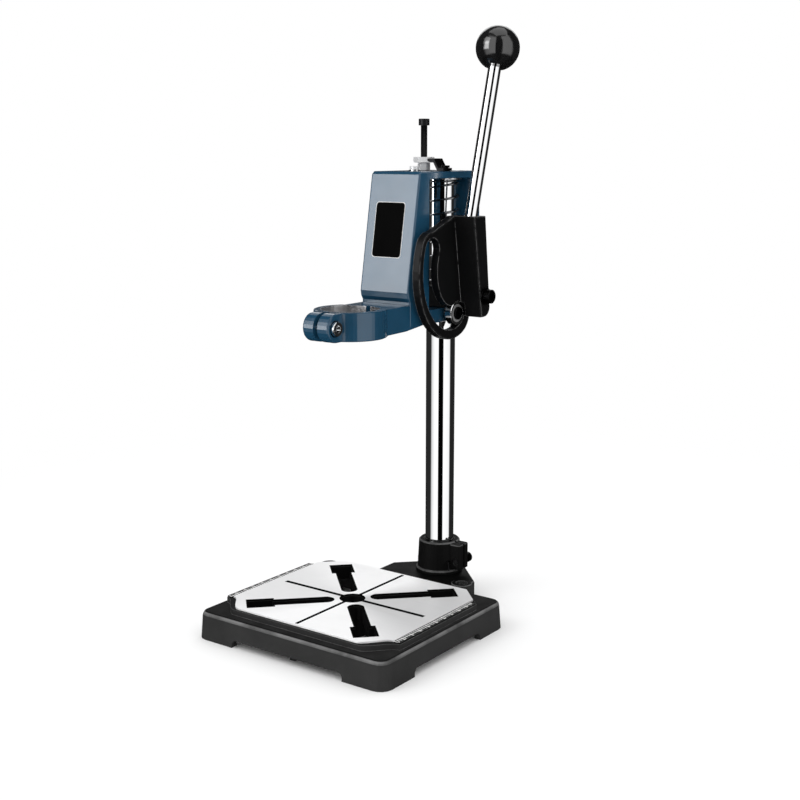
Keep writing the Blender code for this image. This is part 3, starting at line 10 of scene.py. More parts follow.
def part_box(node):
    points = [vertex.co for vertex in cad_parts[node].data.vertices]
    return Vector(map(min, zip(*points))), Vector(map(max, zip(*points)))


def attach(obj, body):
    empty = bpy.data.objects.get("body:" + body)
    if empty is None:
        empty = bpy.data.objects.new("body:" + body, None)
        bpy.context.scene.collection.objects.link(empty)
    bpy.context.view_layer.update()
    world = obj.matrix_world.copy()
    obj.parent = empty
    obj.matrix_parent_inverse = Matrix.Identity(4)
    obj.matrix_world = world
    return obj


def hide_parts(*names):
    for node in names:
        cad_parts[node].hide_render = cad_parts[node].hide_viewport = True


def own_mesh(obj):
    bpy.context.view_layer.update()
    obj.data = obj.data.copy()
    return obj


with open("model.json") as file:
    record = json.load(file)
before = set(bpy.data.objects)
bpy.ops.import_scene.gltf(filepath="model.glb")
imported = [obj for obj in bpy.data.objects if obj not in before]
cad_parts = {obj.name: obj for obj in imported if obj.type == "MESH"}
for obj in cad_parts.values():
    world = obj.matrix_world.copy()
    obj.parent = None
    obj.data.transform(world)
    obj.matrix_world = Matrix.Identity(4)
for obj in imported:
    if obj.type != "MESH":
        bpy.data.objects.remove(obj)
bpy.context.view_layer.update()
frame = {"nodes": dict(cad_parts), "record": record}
NODES = frame["nodes"]

MM = 0.001

# Camera, placed to match the photograph: CAMERA_BACK points from the stand back to the camera
CAMERA_PLACE = (0.6921, -1.0195, 0.4382)
CAMERA_BACK = (0.5766, -0.7936, 0.1942)
CAMERA_LENS = 57.75
CAMERA_SENSOR = 36
CAMERA_CLIP = 0.01

# Ring of panels seen in reflections: degrees round from the front towards the right, brightness
PANELS = ((-180, 0.015), (-46, 0.02), (-38, 0.55), (-28, 0.75), (-5, 1.0), (18, 0.98),
          (21, 0.0005), (57, 0.0005), (60, 0.98), (112, 0.85), (121, 0.015), (180, 0.015))
PANEL_STRENGTH = 1.25

# Heights of a reflected ray over which the ring ends above and below, how much it loses below,
# and how bright the ceiling is over it
PANEL_TOP = (0.78, 0.85)
PANEL_FOOT = (-0.42, -0.55)
PANEL_FOOT_LOSS = 0.97
CEILING_STRENGTH = 0.10

# Lit cards beside the ring: spans of degrees and of height over which each fades in and out
SOFTBOX = {"sides": ((-44, -40), (-14, -20)), "heights": ((-0.10, -0.02), (0.55, 0.40)),
           "strength": 5.0}
BACK_CARD = {"sides": ((-176, -168), (-118, -126)), "heights": ((0.20, 0.26), (0.70, 0.55)),
             "strength": 1.15}

# Even light on matt surfaces, and the lamps: name, place, side of the square, power
ROOM_STRENGTH = 0.98
LAMPS = (("key", (-0.9, -1.3, 1.5), 1.0, 6),
         ("top", (0.1, 0.1, 1.9), 1.4, 5))
LAMP_AIM = (0, -0.08, 0.25)

# Floor, and the distances from the stand over which it turns into a plain white backdrop
FLOOR_HALF = 6
FLOOR_FADE = (0.25, 0.75)

# Places and heights on the stand that the looks depend on
COLLAR_CENTRE_Y = -0.141
COLLAR_BORE = 26 * MM
BORE_MARGIN = 0.35 * MM
STRIP_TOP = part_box("scale_strip_right")[1].z
# Top of the socket; below it the column's colour is painted shade
SOCKET_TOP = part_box("column_socket")[1].z
SOCKET_SEAM = (Vector((19.5, -10.5, 30)) * MM, 7 * MM)
DEPTH_SCREW_HEAD = 6.3 * MM

# Outline of the raised table round the plate's centre: half sides, and their sum at the corners.
# Inside it the base's inner walls get painted shade.
TABLE_HALF_WIDTH = 94 * MM
TABLE_HALF_DEPTH = 79 * MM
TABLE_CORNER = 145 * MM

# Engraved cross of the plate: width of the line along Y and of the one along X, half lengths
CROSS_WIDTHS = (3.4 * MM, 4.4 * MM)
CROSS_HALVES = (80 * MM, 79 * MM)

# Dark borders of the diagonal slots: distances from the plate's centre, then half widths
SLOT_START = 22 * MM
SLOT_TIP = 24.2 * MM
SLOT_END = 95.46 * MM
SLOT_NECK_HALF = 7.6 * MM
SLOT_HEAD_HALF = 11.2 * MM
SLOT_HEAD_LENGTH = 24.2 * MM
SLOT_HEAD_MARGIN = 1.2 * MM
CENTRE_HOLE_BORDER = 11.9 * MM

# Painted reflection on the plate, as soft grey fans: degrees from X towards Y, span of cosines
# from edge to middle, depth
PAINTED_PLATE_FANS = ((12, (0.42, 0.90), 1.0), (191, (0.55, 0.95), 0.45))
FAN_CENTRE = 1 * MM

# Ruler ticks, short and long: distance from one to the next, width, length. They are counted from
# a point this far in front of the plate's centre.
TICKS = ((3 * MM, 0.95 * MM, 3.4 * MM), (12 * MM, 1.3 * MM, 5.0 * MM))
TICK_ORIGIN = 1.0
TICK_SKIN = 0.05 * MM

# Ruler numbers, counted each way from the plate's centre
NUMBER_STEPS = range(-6, 6)
NUMBER_STEP = 10 * MM
NUMBER_SIZE = 2.9 * MM
NUMBER_DEPTH = 0.03 * MM
NUMBER_LIFT = 0.02 * MM
NUMBER_INSET = 1.8 * MM

# Front face of the carriage, and the label on it: X and Z of its centre, width and height
FACE_TOP_Y = -73.5 * MM
FACE_FOOT_Y = -92.5 * MM
FACE_FOOT_Z = 306.5 * MM
LABEL_CENTRE = (-1.6 * MM, 364 * MM)
LABEL_SIZE = (31.4 * MM, 49.2 * MM)
LABEL_CORNER = 3 * MM
LABEL_SINK = 0.2 * MM

# Label's two layers: name, growth of its size, height above the face, look, slot
LABEL_LAYERS = (("label_rim", 1.0 * MM, 0.10 * MM, "white_print", "scale"),
                ("label_panel", 0.0, 0.16 * MM, "label", "black_casting"))

# Return spring: one closed turn at each end, and the wire and coils between them
SPRING_WIRE = 1.9 * MM
SPRING_RADIUS = 16.15 * MM
SPRING_TURNS = 7
SPRING_END_PITCH = 2.5 * MM
SPRING_POINTS = 48
SPRING_WIRE_DETAIL = 4

# Round forms whose reflections follow the true surface: centre, axis or None for a ball, radius
ROD_LOW = Vector((49.5, -24.5, 375.5)) * MM
KNOB_CENTRE = Vector((49.5, 17.4, 526.2)) * MM
COLUMN_ROUND = ((0, 0, 0), (0, 0, 1), 14 * MM)
ROD_ROUND = (ROD_LOW, (KNOB_CENTRE - ROD_LOW).normalized(), 6 * MM)
KNOB_ROUND = (KNOB_CENTRE, None, 20.3 * MM)
ROUND_MARGIN = 0.3 * MM

# Shading of edges: rays per bevel, and the agreement of normals from a flat to a sharp edge
BEVEL_SAMPLES = 6
EDGE_SPAN = (0.985, 0.86)
SHARP_ANGLE = math.radians(35)
NOISE_SPAN = (0.3, 0.75)

# Sockets of a mix node by number, since its kinds share their names: factor, first, second, result
MIX_SOCKETS = {"RGBA": (0, 6, 7, 2), "VECTOR": (0, 4, 5, 1)}

SHADER_SOCKETS = {"colour": "Base Color", "rough": "Roughness", "metal": "Metallic",
                  "coat": "Coat Weight", "coat_rough": "Coat Roughness",
                  "specular": "Specular IOR Level"}


# Node helpers

class Nodes:
    """Adds nodes to one tree. A value is a number or another node's output."""

    def __init__(self, tree):
        self.tree = tree

    def node(self, kind, **settings):
        made = self.tree.nodes.new(kind)
        for key, value in settings.items():
            setattr(made, key, value)
        return made

    def link(self, source, target):
        self.tree.links.new(source, target)

    def feed(self, socket, value):
        if isinstance(value, bpy.types.NodeSocket):
            self.link(value, socket)
        else:
            socket.default_value = value

    def math(self, operation, first, second=0.0, clamp=False):
        made = self.node("ShaderNodeMath", operation=operation, use_clamp=clamp)
        self.feed(made.inputs[0], first)
        self.feed(made.inputs[1], second)
        return made.outputs[0]

    def product(self, first, *others):
        for other in others:
            first = self.math("MULTIPLY", first, other)
        return first

    def greatest(self, first, *others):
        for other in others:
            first = self.math("MAXIMUM", first, other)
        return first

    def sum(self, first, second):
        return self.math("ADD", first, second)

    def less(self, first, second):
        """The first value less the second."""
        return self.math("SUBTRACT", first, second)

    def absolute(self, value):
        return self.math("ABSOLUTE", value)

    def below(self, value, limit):
        return self.math("LESS_THAN", value, limit)

    def above(self, value, limit):
        return self.math("GREATER_THAN", value, limit)

    def distance(self, first, second):
        """Distance from zero of two values at right angles."""
        squares = self.sum(self.product(first, first), self.product(second, second))
        return self.math("SQRT", squares)

    def vector(self, operation, first, second=(0, 0, 0)):
        made = self.node("ShaderNodeVectorMath", operation=operation)
        self.feed(made.inputs[0], first)
        self.feed(made.inputs[1], second)
        return made

    def between(self, value, span, out=(0.0, 1.0), smooth=False):
        """Maps one span of a value onto another, and holds it at both ends."""
        kind = "SMOOTHSTEP" if smooth else "LINEAR"
        made = self.node("ShaderNodeMapRange", interpolation_type=kind)
        self.feed(made.inputs["Value"], value)
        for name, number in zip(("From Min", "From Max", "To Min", "To Max"), (*span, *out)):
            made.inputs[name].default_value = number
        return made.outputs["Result"]

    def mix(self, factor, first, second, kind="RGBA"):
        made = self.node("ShaderNodeMix", data_type=kind)
        *inputs, result = MIX_SOCKETS[kind]
        for number, value in zip(inputs, (factor, first, second)):
            self.feed(made.inputs[number], value)
        return made.outputs[result]

    def mix_shaders(self, factor, first, second):
        made = self.node("ShaderNodeMixShader")
        for socket, value in zip(made.inputs, (factor, first, second)):
            self.link(value, socket)
        return made.outputs["Shader"]


class Shader(Nodes):
    """One node material."""

    def __init__(self, name):
        self.material = bpy.data.materials.new(name)
        self.material.use_nodes = True
        super().__init__(self.material.node_tree)
        self.bsdf = self.tree.nodes["Principled BSDF"]

    def place(self):
        return self.node("ShaderNodeTexCoord").outputs["Object"]

    def stretched(self, scale):
        mapping = self.node("ShaderNodeMapping")
        self.link(self.place(), mapping.inputs["Vector"])
        mapping.inputs["Scale"].default_value = scale
        return mapping.outputs["Vector"]

    def axis(self, name, vector=None):
        split = self.node("ShaderNodeSeparateXYZ")
        self.link(vector or self.place(), split.inputs["Vector"])
        return split.outputs[name]

    def from_collar(self):
        """X and Y from the collar's axis, which goes through the plate's centre too."""
        return self.axis("X"), self.less(self.axis("Y"), COLLAR_CENTRE_Y)

    def noise(self, scale, detail=4, roughness=0.55, vector=None):
        made = self.node("ShaderNodeTexNoise")
        self.link(vector or self.place(), made.inputs["Vector"])
        made.inputs["Scale"].default_value = scale
        made.inputs["Detail"].default_value = detail
        made.inputs["Roughness"].default_value = roughness
        return made.outputs["Fac"]

    def varied(self, scale, detail=4, span=NOISE_SPAN, out=(0.0, 1.0)):
        """Noise of one scale, spread over a span of values."""
        return self.between(self.noise(scale, detail), span, out)

    def bevel(self, radius, samples=BEVEL_SAMPLES):
        made = self.node("ShaderNodeBevel", samples=samples)
        made.inputs["Radius"].default_value = radius
        return made.outputs["Normal"]

    def edges(self, radius):
        """About 1 on sharp edges and 0 on flats, from a bevelled normal."""
        flat = self.node("ShaderNodeNewGeometry").outputs["Normal"]
        agreement = self.vector("DOT_PRODUCT", self.bevel(radius), flat).outputs["Value"]
        return self.between(agreement, EDGE_SPAN)

    def round_normal(self, turned, flat):
        """Normal of a true round form where the mesh lies on it, and the flat one elsewhere."""
        centre, way, radius = turned
        offset = self.vector("SUBTRACT", self.place(), centre).outputs["Vector"]
        if way is not None:
            along = self.vector("PROJECT", offset, way).outputs["Vector"]
            offset = self.vector("SUBTRACT", offset, along).outputs["Vector"]
        reach = self.vector("LENGTH", offset).outputs["Value"]
        near = self.below(self.absolute(self.less(reach, radius)), ROUND_MARGIN)
        turn = self.node("ShaderNodeVectorTransform", vector_type="NORMAL",
                         convert_from="OBJECT", convert_to="WORLD")
        self.link(offset, turn.inputs[0])
        unit = self.vector("NORMALIZE", turn.outputs[0]).outputs["Vector"]
        return self.mix(near, flat, unit, kind="VECTOR")

    def bump(self, height, depth, strength, round_edges=0.0, turned=None):
        """Fine relief, over edges rounded in the shading or over a true round form."""
        made = self.node("ShaderNodeBump")
        self.feed(made.inputs["Height"], height)
        made.inputs["Distance"].default_value = depth
        made.inputs["Strength"].default_value = strength
        if round_edges:
            normal = self.bevel(round_edges)
            if turned:
                normal = self.round_normal(turned, normal)
            self.link(normal, made.inputs["Normal"])
        self.link(made.outputs["Normal"], self.bsdf.inputs["Normal"])

    def set(self, **values):
        for key, value in values.items():
            self.feed(self.bsdf.inputs[SHADER_SOCKETS[key]], value)


def rgb(colour, strength=1.0):
    return (*[part * strength for part in colour], 1)


def grey(level):
    return (level, level, level, 1)


# Looks

def collar_bore(s, colour, rough, coat):
    """Sets a paint's values, with bare machined metal on the collar's bore."""
    bare = s.below(s.distance(*s.from_collar()), COLLAR_BORE + BORE_MARGIN)
    rings = s.noise(900, roughness=0.7, vector=s.stretched((0.04, 0.04, 1)))
    tone = s.mix(rings, rgb((0.55, 0.55, 0.56)), rgb((0.72, 0.72, 0.73)))
    s.set(metal=bare, colour=s.mix(bare, colour, tone), rough=s.sum(s.product(bare, 0.08), rough),
          coat=s.product(s.less(1.0, bare), coat))


def paint(name, colour, worn, rough, grain, grain_depth, coat, specular=0.5, machined=False,
          edge_wear_and_highlight_strength=0.35, edge_wear_and_highlight_share=(0.52, 0.68)):
    """Paint over a casting: cloudy tone, fine grain, dust in the gloss, and thin light edges that
    are partly worn paint and partly a painted highlight.

    A machined one has painted shade as sharp dark lines along its edges, with no gloss on them,
    and bare metal on the collar's bore.
    """
    s = Shader(name)
    cloud = s.varied(scale=18, detail=3, span=(0.35, 0.7))
    # Light edges: partly worn paint, partly a painted highlight
    edge_wear_and_highlight_patches = s.product(s.edges(0.6 * MM), s.varied(scale=160, detail=5, span=edge_wear_and_highlight_share))
    wear_and_highlight = s.math("MULTIPLY", edge_wear_and_highlight_patches, edge_wear_and_highlight_strength, clamp=True)
    clouded = s.mix(cloud, rgb(colour), rgb(colour, strength=1.25))
    tone = s.mix(wear_and_highlight, clouded, rgb(worn))
    gloss = s.varied(scale=55, out=(rough * 0.85, rough * 1.2))
    s.set(colour=tone, rough=gloss, coat=coat, coat_rough=0.12, specular=specular)
    if machined:
        # Painted shade: dark lines along the edges, with the gloss and coat taken off them
        outline = s.product(s.edges(1.0 * MM), 0.85)
        matt = s.less(1.0, outline)
        s.set(specular=s.product(matt, specular))
        tone = s.mix(outline, tone, rgb((0.004, 0.022, 0.045)))
        collar_bore(s, tone, gloss, s.product(matt, coat))
    s.bump(s.noise(grain, detail=3), grain_depth, strength=0.5, round_edges=0.45 * MM)
    return s.material


def on_table(s):
    """1 inside the outline of the raised table, where the base's inner walls get painted shade."""
    wide, deep = [s.absolute(value) for value in s.from_collar()]
    return s.product(s.below(wide, TABLE_HALF_WIDTH), s.below(deep, TABLE_HALF_DEPTH),
                     s.below(s.sum(wide, deep), TABLE_CORNER))


def casting(name, side, top, painted_highlight, dull=None):
    """Black paint with painted light: side is a lit tone on upright faces, top is painted shade on
    faces turned up, and painted_highlight is a lighter tone along the rounded upper edges, where
    the real gloss is raised too.

    A dull place is a centre and a radius within which the paint has no gloss.
    """
    s = Shader(name)
    up = s.axis("Z", s.bevel(0.9 * MM, samples=8))
    # Painted shade: inside the table's outline the base's inner walls take the dark top tone, with
    # no painted highlight
    inside = on_table(s)
    # Painted light and shade: upright faces take the lighter side tone, faces turned up the dark
    # top tone
    dark = s.greatest(s.between(up, (0.1, 0.75)), inside)
    # Painted highlight: a lighter tone along the rounded upper edges, where the real gloss is
    # raised as well
    highlight_band = s.product(s.between(up, (0.25, 0.5)), s.between(up, (0.93, 0.75)),
                    s.varied(scale=45, detail=5, span=(0.35, 0.6), out=(0.45, 1.0)),
                    s.less(1.0, inside))
    clouded = s.vector("SCALE", s.mix(highlight_band, s.mix(dark, grey(side), grey(top)), grey(painted_highlight)))
    s.feed(clouded.inputs["Scale"], s.varied(scale=22, out=(0.85, 1.2)))
    gloss = s.sum(s.product(highlight_band, 0.30), 0.03)
    if dull:
        centre, radius = dull
        away = s.vector("DISTANCE", s.place(), centre).outputs["Value"]
        gloss = s.product(gloss, s.above(away, radius))
    s.set(colour=clouded.outputs["Vector"], rough=s.varied(scale=60, out=(0.36, 0.5)),
          specular=gloss)
    s.bump(s.noise(1400, detail=3), 0.10 * MM, strength=0.5, round_edges=0.6 * MM)
    return s.material


def metal(name, colour, rough, scratch, depth, turned=None, painted_shade_below=0.0):
    """Bare or plated metal with a cloudy polish and fine scratches, and painted shade below a
    given height.
    """
    s = Shader(name)
    lines = s.noise(scratch, detail=6, roughness=0.7)
    tone = s.mix(s.varied(scale=35, span=(0.3, 0.8)), rgb(colour), rgb(colour, strength=0.93))
    # Painted shade: nearly black below this height, where the column stands inside its socket
    if painted_shade_below:
        tone = s.mix(s.below(s.axis("Z"), painted_shade_below), tone, grey(0.01))
    s.set(colour=tone, metal=1.0, rough=s.between(lines, NOISE_SPAN, (rough * 0.8, rough * 1.25)))
    s.bump(lines, depth, strength=0.4, round_edges=0.3 * MM, turned=turned)
    return s.material


def zinc_material():
    """Bright plated nut or bolt, satin, with painted shade as dark lines along its edges."""
    s = Shader("zinc")
    bright = s.mix(s.noise(300), rgb((0.86, 0.86, 0.87)), grey(0.95))
    # Painted shade: dark grey along the edges
    s.set(colour=s.mix(s.product(s.edges(0.4 * MM), 0.8), bright, grey(0.10)), metal=0.25,
          rough=s.varied(scale=500, span=(0.3, 0.7), out=(0.28, 0.42)))
    s.bump(s.noise(900, detail=3), 0.02 * MM, strength=0.4, round_edges=0.25 * MM)
    return s.material


def slot_borders(s, wide, deep):
    """1 on the dark borders of the four slots: a neck with a round tip, and a wider head."""
    out = s.product(s.sum(wide, deep), math.sqrt(0.5))
    off = s.absolute(s.product(s.less(wide, deep), math.sqrt(0.5)))
    neck = s.product(s.below(off, SLOT_NECK_HALF), s.above(out, SLOT_START))
    tip = s.below(s.distance(s.less(out, SLOT_TIP), off), SLOT_NECK_HALF)
    neck = s.product(s.greatest(neck, tip), s.below(out, SLOT_END))
    head = s.product(s.below(off, SLOT_HEAD_HALF), s.above(out, SLOT_END - SLOT_HEAD_LENGTH),
                     s.below(out, SLOT_END + SLOT_HEAD_MARGIN))
    return s.greatest(neck, head)


def plate_grooves(s, x, y, centre):
    """1 on the engraved cross and on the dark borders of the slots and the centre hole."""
    wide, deep = s.absolute(x), s.absolute(y)
    cross = s.greatest(s.below(wide, CROSS_WIDTHS[0] / 2), s.below(deep, CROSS_WIDTHS[1] / 2))
    cross = s.product(cross, s.below(wide, CROSS_HALVES[0]), s.below(deep, CROSS_HALVES[1]))
    return s.greatest(cross, slot_borders(s, wide, deep), s.below(centre, CENTRE_HOLE_BORDER))


def plate_fans(s, x, y, centre):
    """Depth of the painted reflection: soft grey fans that spread from the plate's centre."""
    depth = 0.0
    for degrees, span, darkest in PAINTED_PLATE_FANS:
        turn = math.radians(degrees)
        along = s.sum(s.product(x, math.cos(turn)), s.product(y, math.sin(turn)))
        facing = s.math("DIVIDE", along, s.greatest(centre, FAN_CENTRE))
        depth = s.greatest(depth, s.between(facing, span, (0.0, darkest)))
    return depth


def plate_material():
    """Satin silver sheet with engraved lines, a painted reflection of soft grey fans, and
    scattered handling marks.
    """
    s = Shader("plate")
    x, y = s.from_collar()
    centre = s.distance(x, y)
    groove = plate_grooves(s, x, y, centre)
    bare = s.less(1.0, groove)
    brushed = s.noise(420, detail=5, roughness=0.7, vector=s.stretched((0.06, 1, 1)))
    marks = s.between(s.noise(30, detail=5, roughness=0.6), NOISE_SPAN)
    tone = s.mix(marks, rgb((0.97, 0.97, 0.975)), rgb((0.91, 0.91, 0.915)))
    # Painted reflection: the tone turns grey within the fans
    tone = s.mix(plate_fans(s, x, y, centre), tone, rgb((0.56, 0.56, 0.565)))
    s.set(colour=s.mix(groove, tone, grey(0.004)), metal=s.product(bare, 0.3),
          specular=s.product(bare, 0.5), rough=s.between(brushed, NOISE_SPAN, (0.30, 0.45)))
    relief = s.less(s.product(brushed, 0.12), groove)
    s.bump(relief, 0.15 * MM, strength=0.6, round_edges=0.25 * MM)
    return s.material


def ticks(s, y, depth, step, width, length):
    """1 on a row of ticks along Y that start at the strip's inner edge."""
    off = s.math("PINGPONG", s.sum(y, TICK_ORIGIN), step / 2)
    return s.product(s.below(off, width / 2), s.below(depth, length))


def strip_material():
    """Black ruler strip with white ticks every three millimetres, longer at every fourth."""
    s = Shader("scale")
    x, y = s.from_collar()
    depth = s.less(s.absolute(x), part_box("scale_strip_right")[0].x)
    marks = s.greatest(*[ticks(s, y, depth, *row) for row in TICKS])
    top = s.above(s.axis("Z"), STRIP_TOP - TICK_SKIN)
    worn = s.product(marks, top, s.varied(scale=300, span=(0.25, 0.4), out=(0.6, 1.0)))
    s.set(colour=s.mix(worn, grey(0.006), rgb((0.92, 0.92, 0.91))), specular=0.1,
          rough=s.varied(scale=90, span=(0.3, 0.7), out=(0.32, 0.48)))
    s.bump(s.noise(900, detail=2), 0.03 * MM, strength=0.4, round_edges=0.2 * MM)
    return s.material


def thread_material(name, colour, rough, pitch):
    """Depth screw: plain head, and a thread along the shank below it, with painted shade in the
    thread's grooves.
    """
    s = Shader(name)
    low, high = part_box("depth_screw")
    z = s.axis("Z")
    shank = s.product(s.above(z, low.z), s.below(z, high.z - DEPTH_SCREW_HEAD))
    ridge = s.product(s.math("DIVIDE", s.math("PINGPONG", z, pitch / 2), pitch / 2), shank)
    grit = s.noise(700)
    # Painted shade: the colour darkens between the thread's ridges
    groove_shaded = s.mix(ridge, rgb(colour, strength=0.55), rgb(colour))
    s.set(colour=s.mix(shank, rgb(colour), groove_shaded), metal=0.85,
          rough=s.between(grit, (0.3, 0.7), (rough * 0.8, rough * 1.2)))
    relief = s.sum(ridge, s.product(grit, 0.05))
    s.bump(relief, 0.45 * MM, strength=0.9, round_edges=0.2 * MM)
    return s.material


def plain(name, cloud, tones, haze, haze_span, rough, grain, depth, strength, round_edges=0.0,
          turned=None, **finish):
    """Even finish in two close tones, with uneven gloss.

    Cloud, haze and grain are each a noise's scale and detail.
    """
    s = Shader(name)
    s.set(colour=s.mix(s.noise(*cloud), *[rgb(tone) for tone in tones]),
          rough=s.between(s.noise(*haze), haze_span, rough), **finish)
    s.bump(s.noise(*grain), depth, strength, round_edges, turned)
    return s.material


CHROME = (0.88, 0.885, 0.89)

MATERIALS = {
    # Black castings: side is a painted lit tone, top a painted shade tone, painted_highlight the
    # tone of the painted highlight on the upper edges
    "black_casting": casting("black_casting", side=0.033, top=0.003, painted_highlight=0.16),
    "socket_black": casting("socket_black", side=0.006, top=0.003, painted_highlight=0.10, dull=SOCKET_SEAM),
    # The rocker's light grey edges are a painted highlight
    "rocker_black": paint("rocker_black", colour=(0.004, 0.004, 0.0042), worn=(0.30, 0.30, 0.30),
                          rough=0.34, grain=1100, grain_depth=0.12 * MM, coat=0.0,
                          specular=0.10, edge_wear_and_highlight_strength=1.6, edge_wear_and_highlight_share=(0.38, 0.52)),
    # Blue paint: light edges, partly worn paint and partly a painted highlight, and painted shade
    # as dark lines along the edges
    "blue_casting": paint("blue_casting", colour=(0.008, 0.050, 0.097), worn=(0.10, 0.16, 0.20),
                          rough=0.22, grain=500, grain_depth=0.05 * MM, coat=0.5, machined=True),
    "zinc": zinc_material(),
    "plate": plate_material(),
    "scale": strip_material(),
    "chrome": metal("chrome", CHROME, rough=0.055, scratch=700, depth=0.006 * MM),
    # Below the socket's top the column's colour is painted shade
    "column_chrome": metal("column_chrome", CHROME, rough=0.03, scratch=700, depth=0.004 * MM,
                           turned=COLUMN_ROUND, painted_shade_below=SOCKET_TOP),
    "rod_chrome": metal("rod_chrome", CHROME, rough=0.03, scratch=700, depth=0.004 * MM,
                        turned=ROD_ROUND),
    "steel": metal("steel", (0.60, 0.60, 0.61), rough=0.27, scratch=900, depth=0.02 * MM),
    "black_steel": metal("black_steel", (0.012, 0.012, 0.0125), rough=0.30, scratch=900,
                         depth=0.02 * MM),
    "spring_steel": metal("spring_steel", (0.30, 0.30, 0.31), rough=0.2, scratch=900,
                          depth=0.01 * MM),
    "bronze": metal("bronze", (0.50, 0.36, 0.19), rough=0.36, scratch=800, depth=0.03 * MM),
    "stop_thread": thread_material("stop_thread", (0.016, 0.016, 0.017), rough=0.3,
                                   pitch=1.0 * MM),
    "seal": plain("seal", cloud=(200, 3), tones=((0.16, 0.16, 0.16), (0.24, 0.24, 0.24)),
                  haze=(320, 3), haze_span=(0.3, 0.7), rough=(0.45, 0.6),
                  grain=(900, 2), depth=0.05 * MM, strength=0.5),
    "gloss_black": plain("gloss_black", cloud=(40, 3),
                         tones=((0.004, 0.004, 0.004), (0.009, 0.009, 0.0095)),
                         haze=(90, 5), haze_span=(0.4, 0.8), rough=(0.05, 0.12),
                         grain=(160, 2), depth=0.03 * MM, strength=0.1,
                         round_edges=0.3 * MM, turned=KNOB_ROUND,
                         coat=0.5, coat_rough=0.03, specular=0.8),
    "label": plain("label", cloud=(60, 4), tones=((0.001, 0.001, 0.001), (0.003, 0.003, 0.003)),
                   haze=(120, 4), haze_span=(0.3, 0.7), rough=(0.5, 0.62),
                   grain=(800, 2), depth=0.02 * MM, strength=0.4, specular=0.01),
    "white_print": plain("white_print", cloud=(260, 4),
                         tones=((0.70, 0.70, 0.69), (0.84, 0.84, 0.83)),
                         haze=(160, 3), haze_span=(0.3, 0.7), rough=(0.4, 0.55),
                         grain=(900, 2), depth=0.02 * MM, strength=0.3),
}

# Nodes that look different from the rest of their slot
OWN_LOOKS = {
    "rocker": "rocker_black", "column_socket": "socket_black",
    "column": "column_chrome", "lever_rod": "rod_chrome",
    "socket_bolt_1": "black_steel", "socket_bolt_2": "black_steel", "socket_bolt_3": "black_steel",
    "stop_hex_nut": "zinc", "stop_lock_nut": "zinc", "top_bolt": "zinc",
    "depth_screw": "stop_thread",
}

# Nodes left out of reflections, so that the polished pieces mirror the studio alone
OUT_OF_REFLECTIONS = ("base_casting", "work_plate", "scale_strip_left", "scale_strip_right")


def give_look(name, look):
    mesh = NODES[name].data
    mesh.materials.clear()
    mesh.materials.append(MATERIALS[look])


def dress_nodes():
    """Gives every CAD node the look of its slot, or its own."""
    for entry in frame["record"]["subparts"]:
        give_look(entry["node"], entry["material_slot"])
    for name, look in OWN_LOOKS.items():
        give_look(name, look)
    for name in OUT_OF_REFLECTIONS:
        NODES[name].visible_glossy = False


# Forms made here: label, ruler numbers and return spring

def add_object(name, data):
    made = bpy.data.objects.new(name, data)
    bpy.context.scene.collection.objects.link(made)
    return made


def add_mesh(name, bm, look, body):
    """Makes a piece of the stand that rides on one of its bodies."""
    mesh = bpy.data.meshes.new(name)
    bm.to_mesh(mesh)
    bm.free()
    mesh.materials.append(MATERIALS[look])
    mesh.shade_smooth()
    mesh.set_sharp_from_angle(angle=SHARP_ANGLE)
    made = add_object(name, mesh)
    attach(made, body)
    return made


def rounded_outline(width, height, radius, steps=8):
    """Points of a rectangle with round corners, counter-clockwise from its right side."""
    points = []
    for turn, (sx, sy) in enumerate(((1, 1), (-1, 1), (-1, -1), (1, -1))):
        for step in range(steps + 1):
            angle = math.pi / 2 * (turn + step / steps)
            points.append((sx * (width / 2 - radius) + radius * math.cos(angle),
                           sy * (height / 2 - radius) + radius * math.sin(angle)))
    return points


def front_face_frame(centre_x, middle_z):
    """Matrix of the carriage's sloping front face: X right, Y up the slope, Z out of it."""
    top_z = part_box("carriage")[1].z
    rise = top_z - FACE_FOOT_Z
    up = Vector((0, FACE_TOP_Y - FACE_FOOT_Y, rise)).normalized()
    right = Vector((1, 0, 0))
    y = FACE_FOOT_Y + (FACE_TOP_Y - FACE_FOOT_Y) * (middle_z - FACE_FOOT_Z) / rise
    turn = Matrix((right, up, right.cross(up))).transposed().to_4x4()
    return Matrix.Translation((centre_x, y, middle_z)) @ turn


def make_label():
    """Blank label: a black panel over a slightly larger pale one."""
    face = front_face_frame(*LABEL_CENTRE)
    for name, grow, lift, look, slot in LABEL_LAYERS:
        bm = bmesh.new()
        outline = rounded_outline(LABEL_SIZE[0] + grow, LABEL_SIZE[1] + grow, LABEL_CORNER)
        low = [bm.verts.new(face @ Vector((x, y, -LABEL_SINK))) for x, y in outline]
        raised = bmesh.ops.extrude_face_region(bm, geom=[bm.faces.new(low)])
        verts = [item for item in raised["geom"] if isinstance(item, bmesh.types.BMVert)]
        out = face.to_3x3() @ Vector((0, 0, lift + LABEL_SINK))
        bmesh.ops.translate(bm, verts=verts, vec=out)
        bmesh.ops.recalc_face_normals(bm, faces=bm.faces)
        add_mesh(name, bm, look, "carriage")


def make_number(name, text, x, y, turn):
    """One printed number, flat on a ruler strip."""
    curve = bpy.data.curves.new("number", "FONT")
    curve.body = text
    curve.size = NUMBER_SIZE
    curve.align_x = "CENTER"
    curve.align_y = "CENTER"
    curve.extrude = NUMBER_DEPTH
    curve.materials.append(MATERIALS["white_print"])
    made = add_object(name, curve)
    made.matrix_world = (Matrix.Translation((x, y, STRIP_TOP + NUMBER_LIFT))
                         @ Matrix.Rotation(turn, 4, "Z"))
    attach(made, "base")


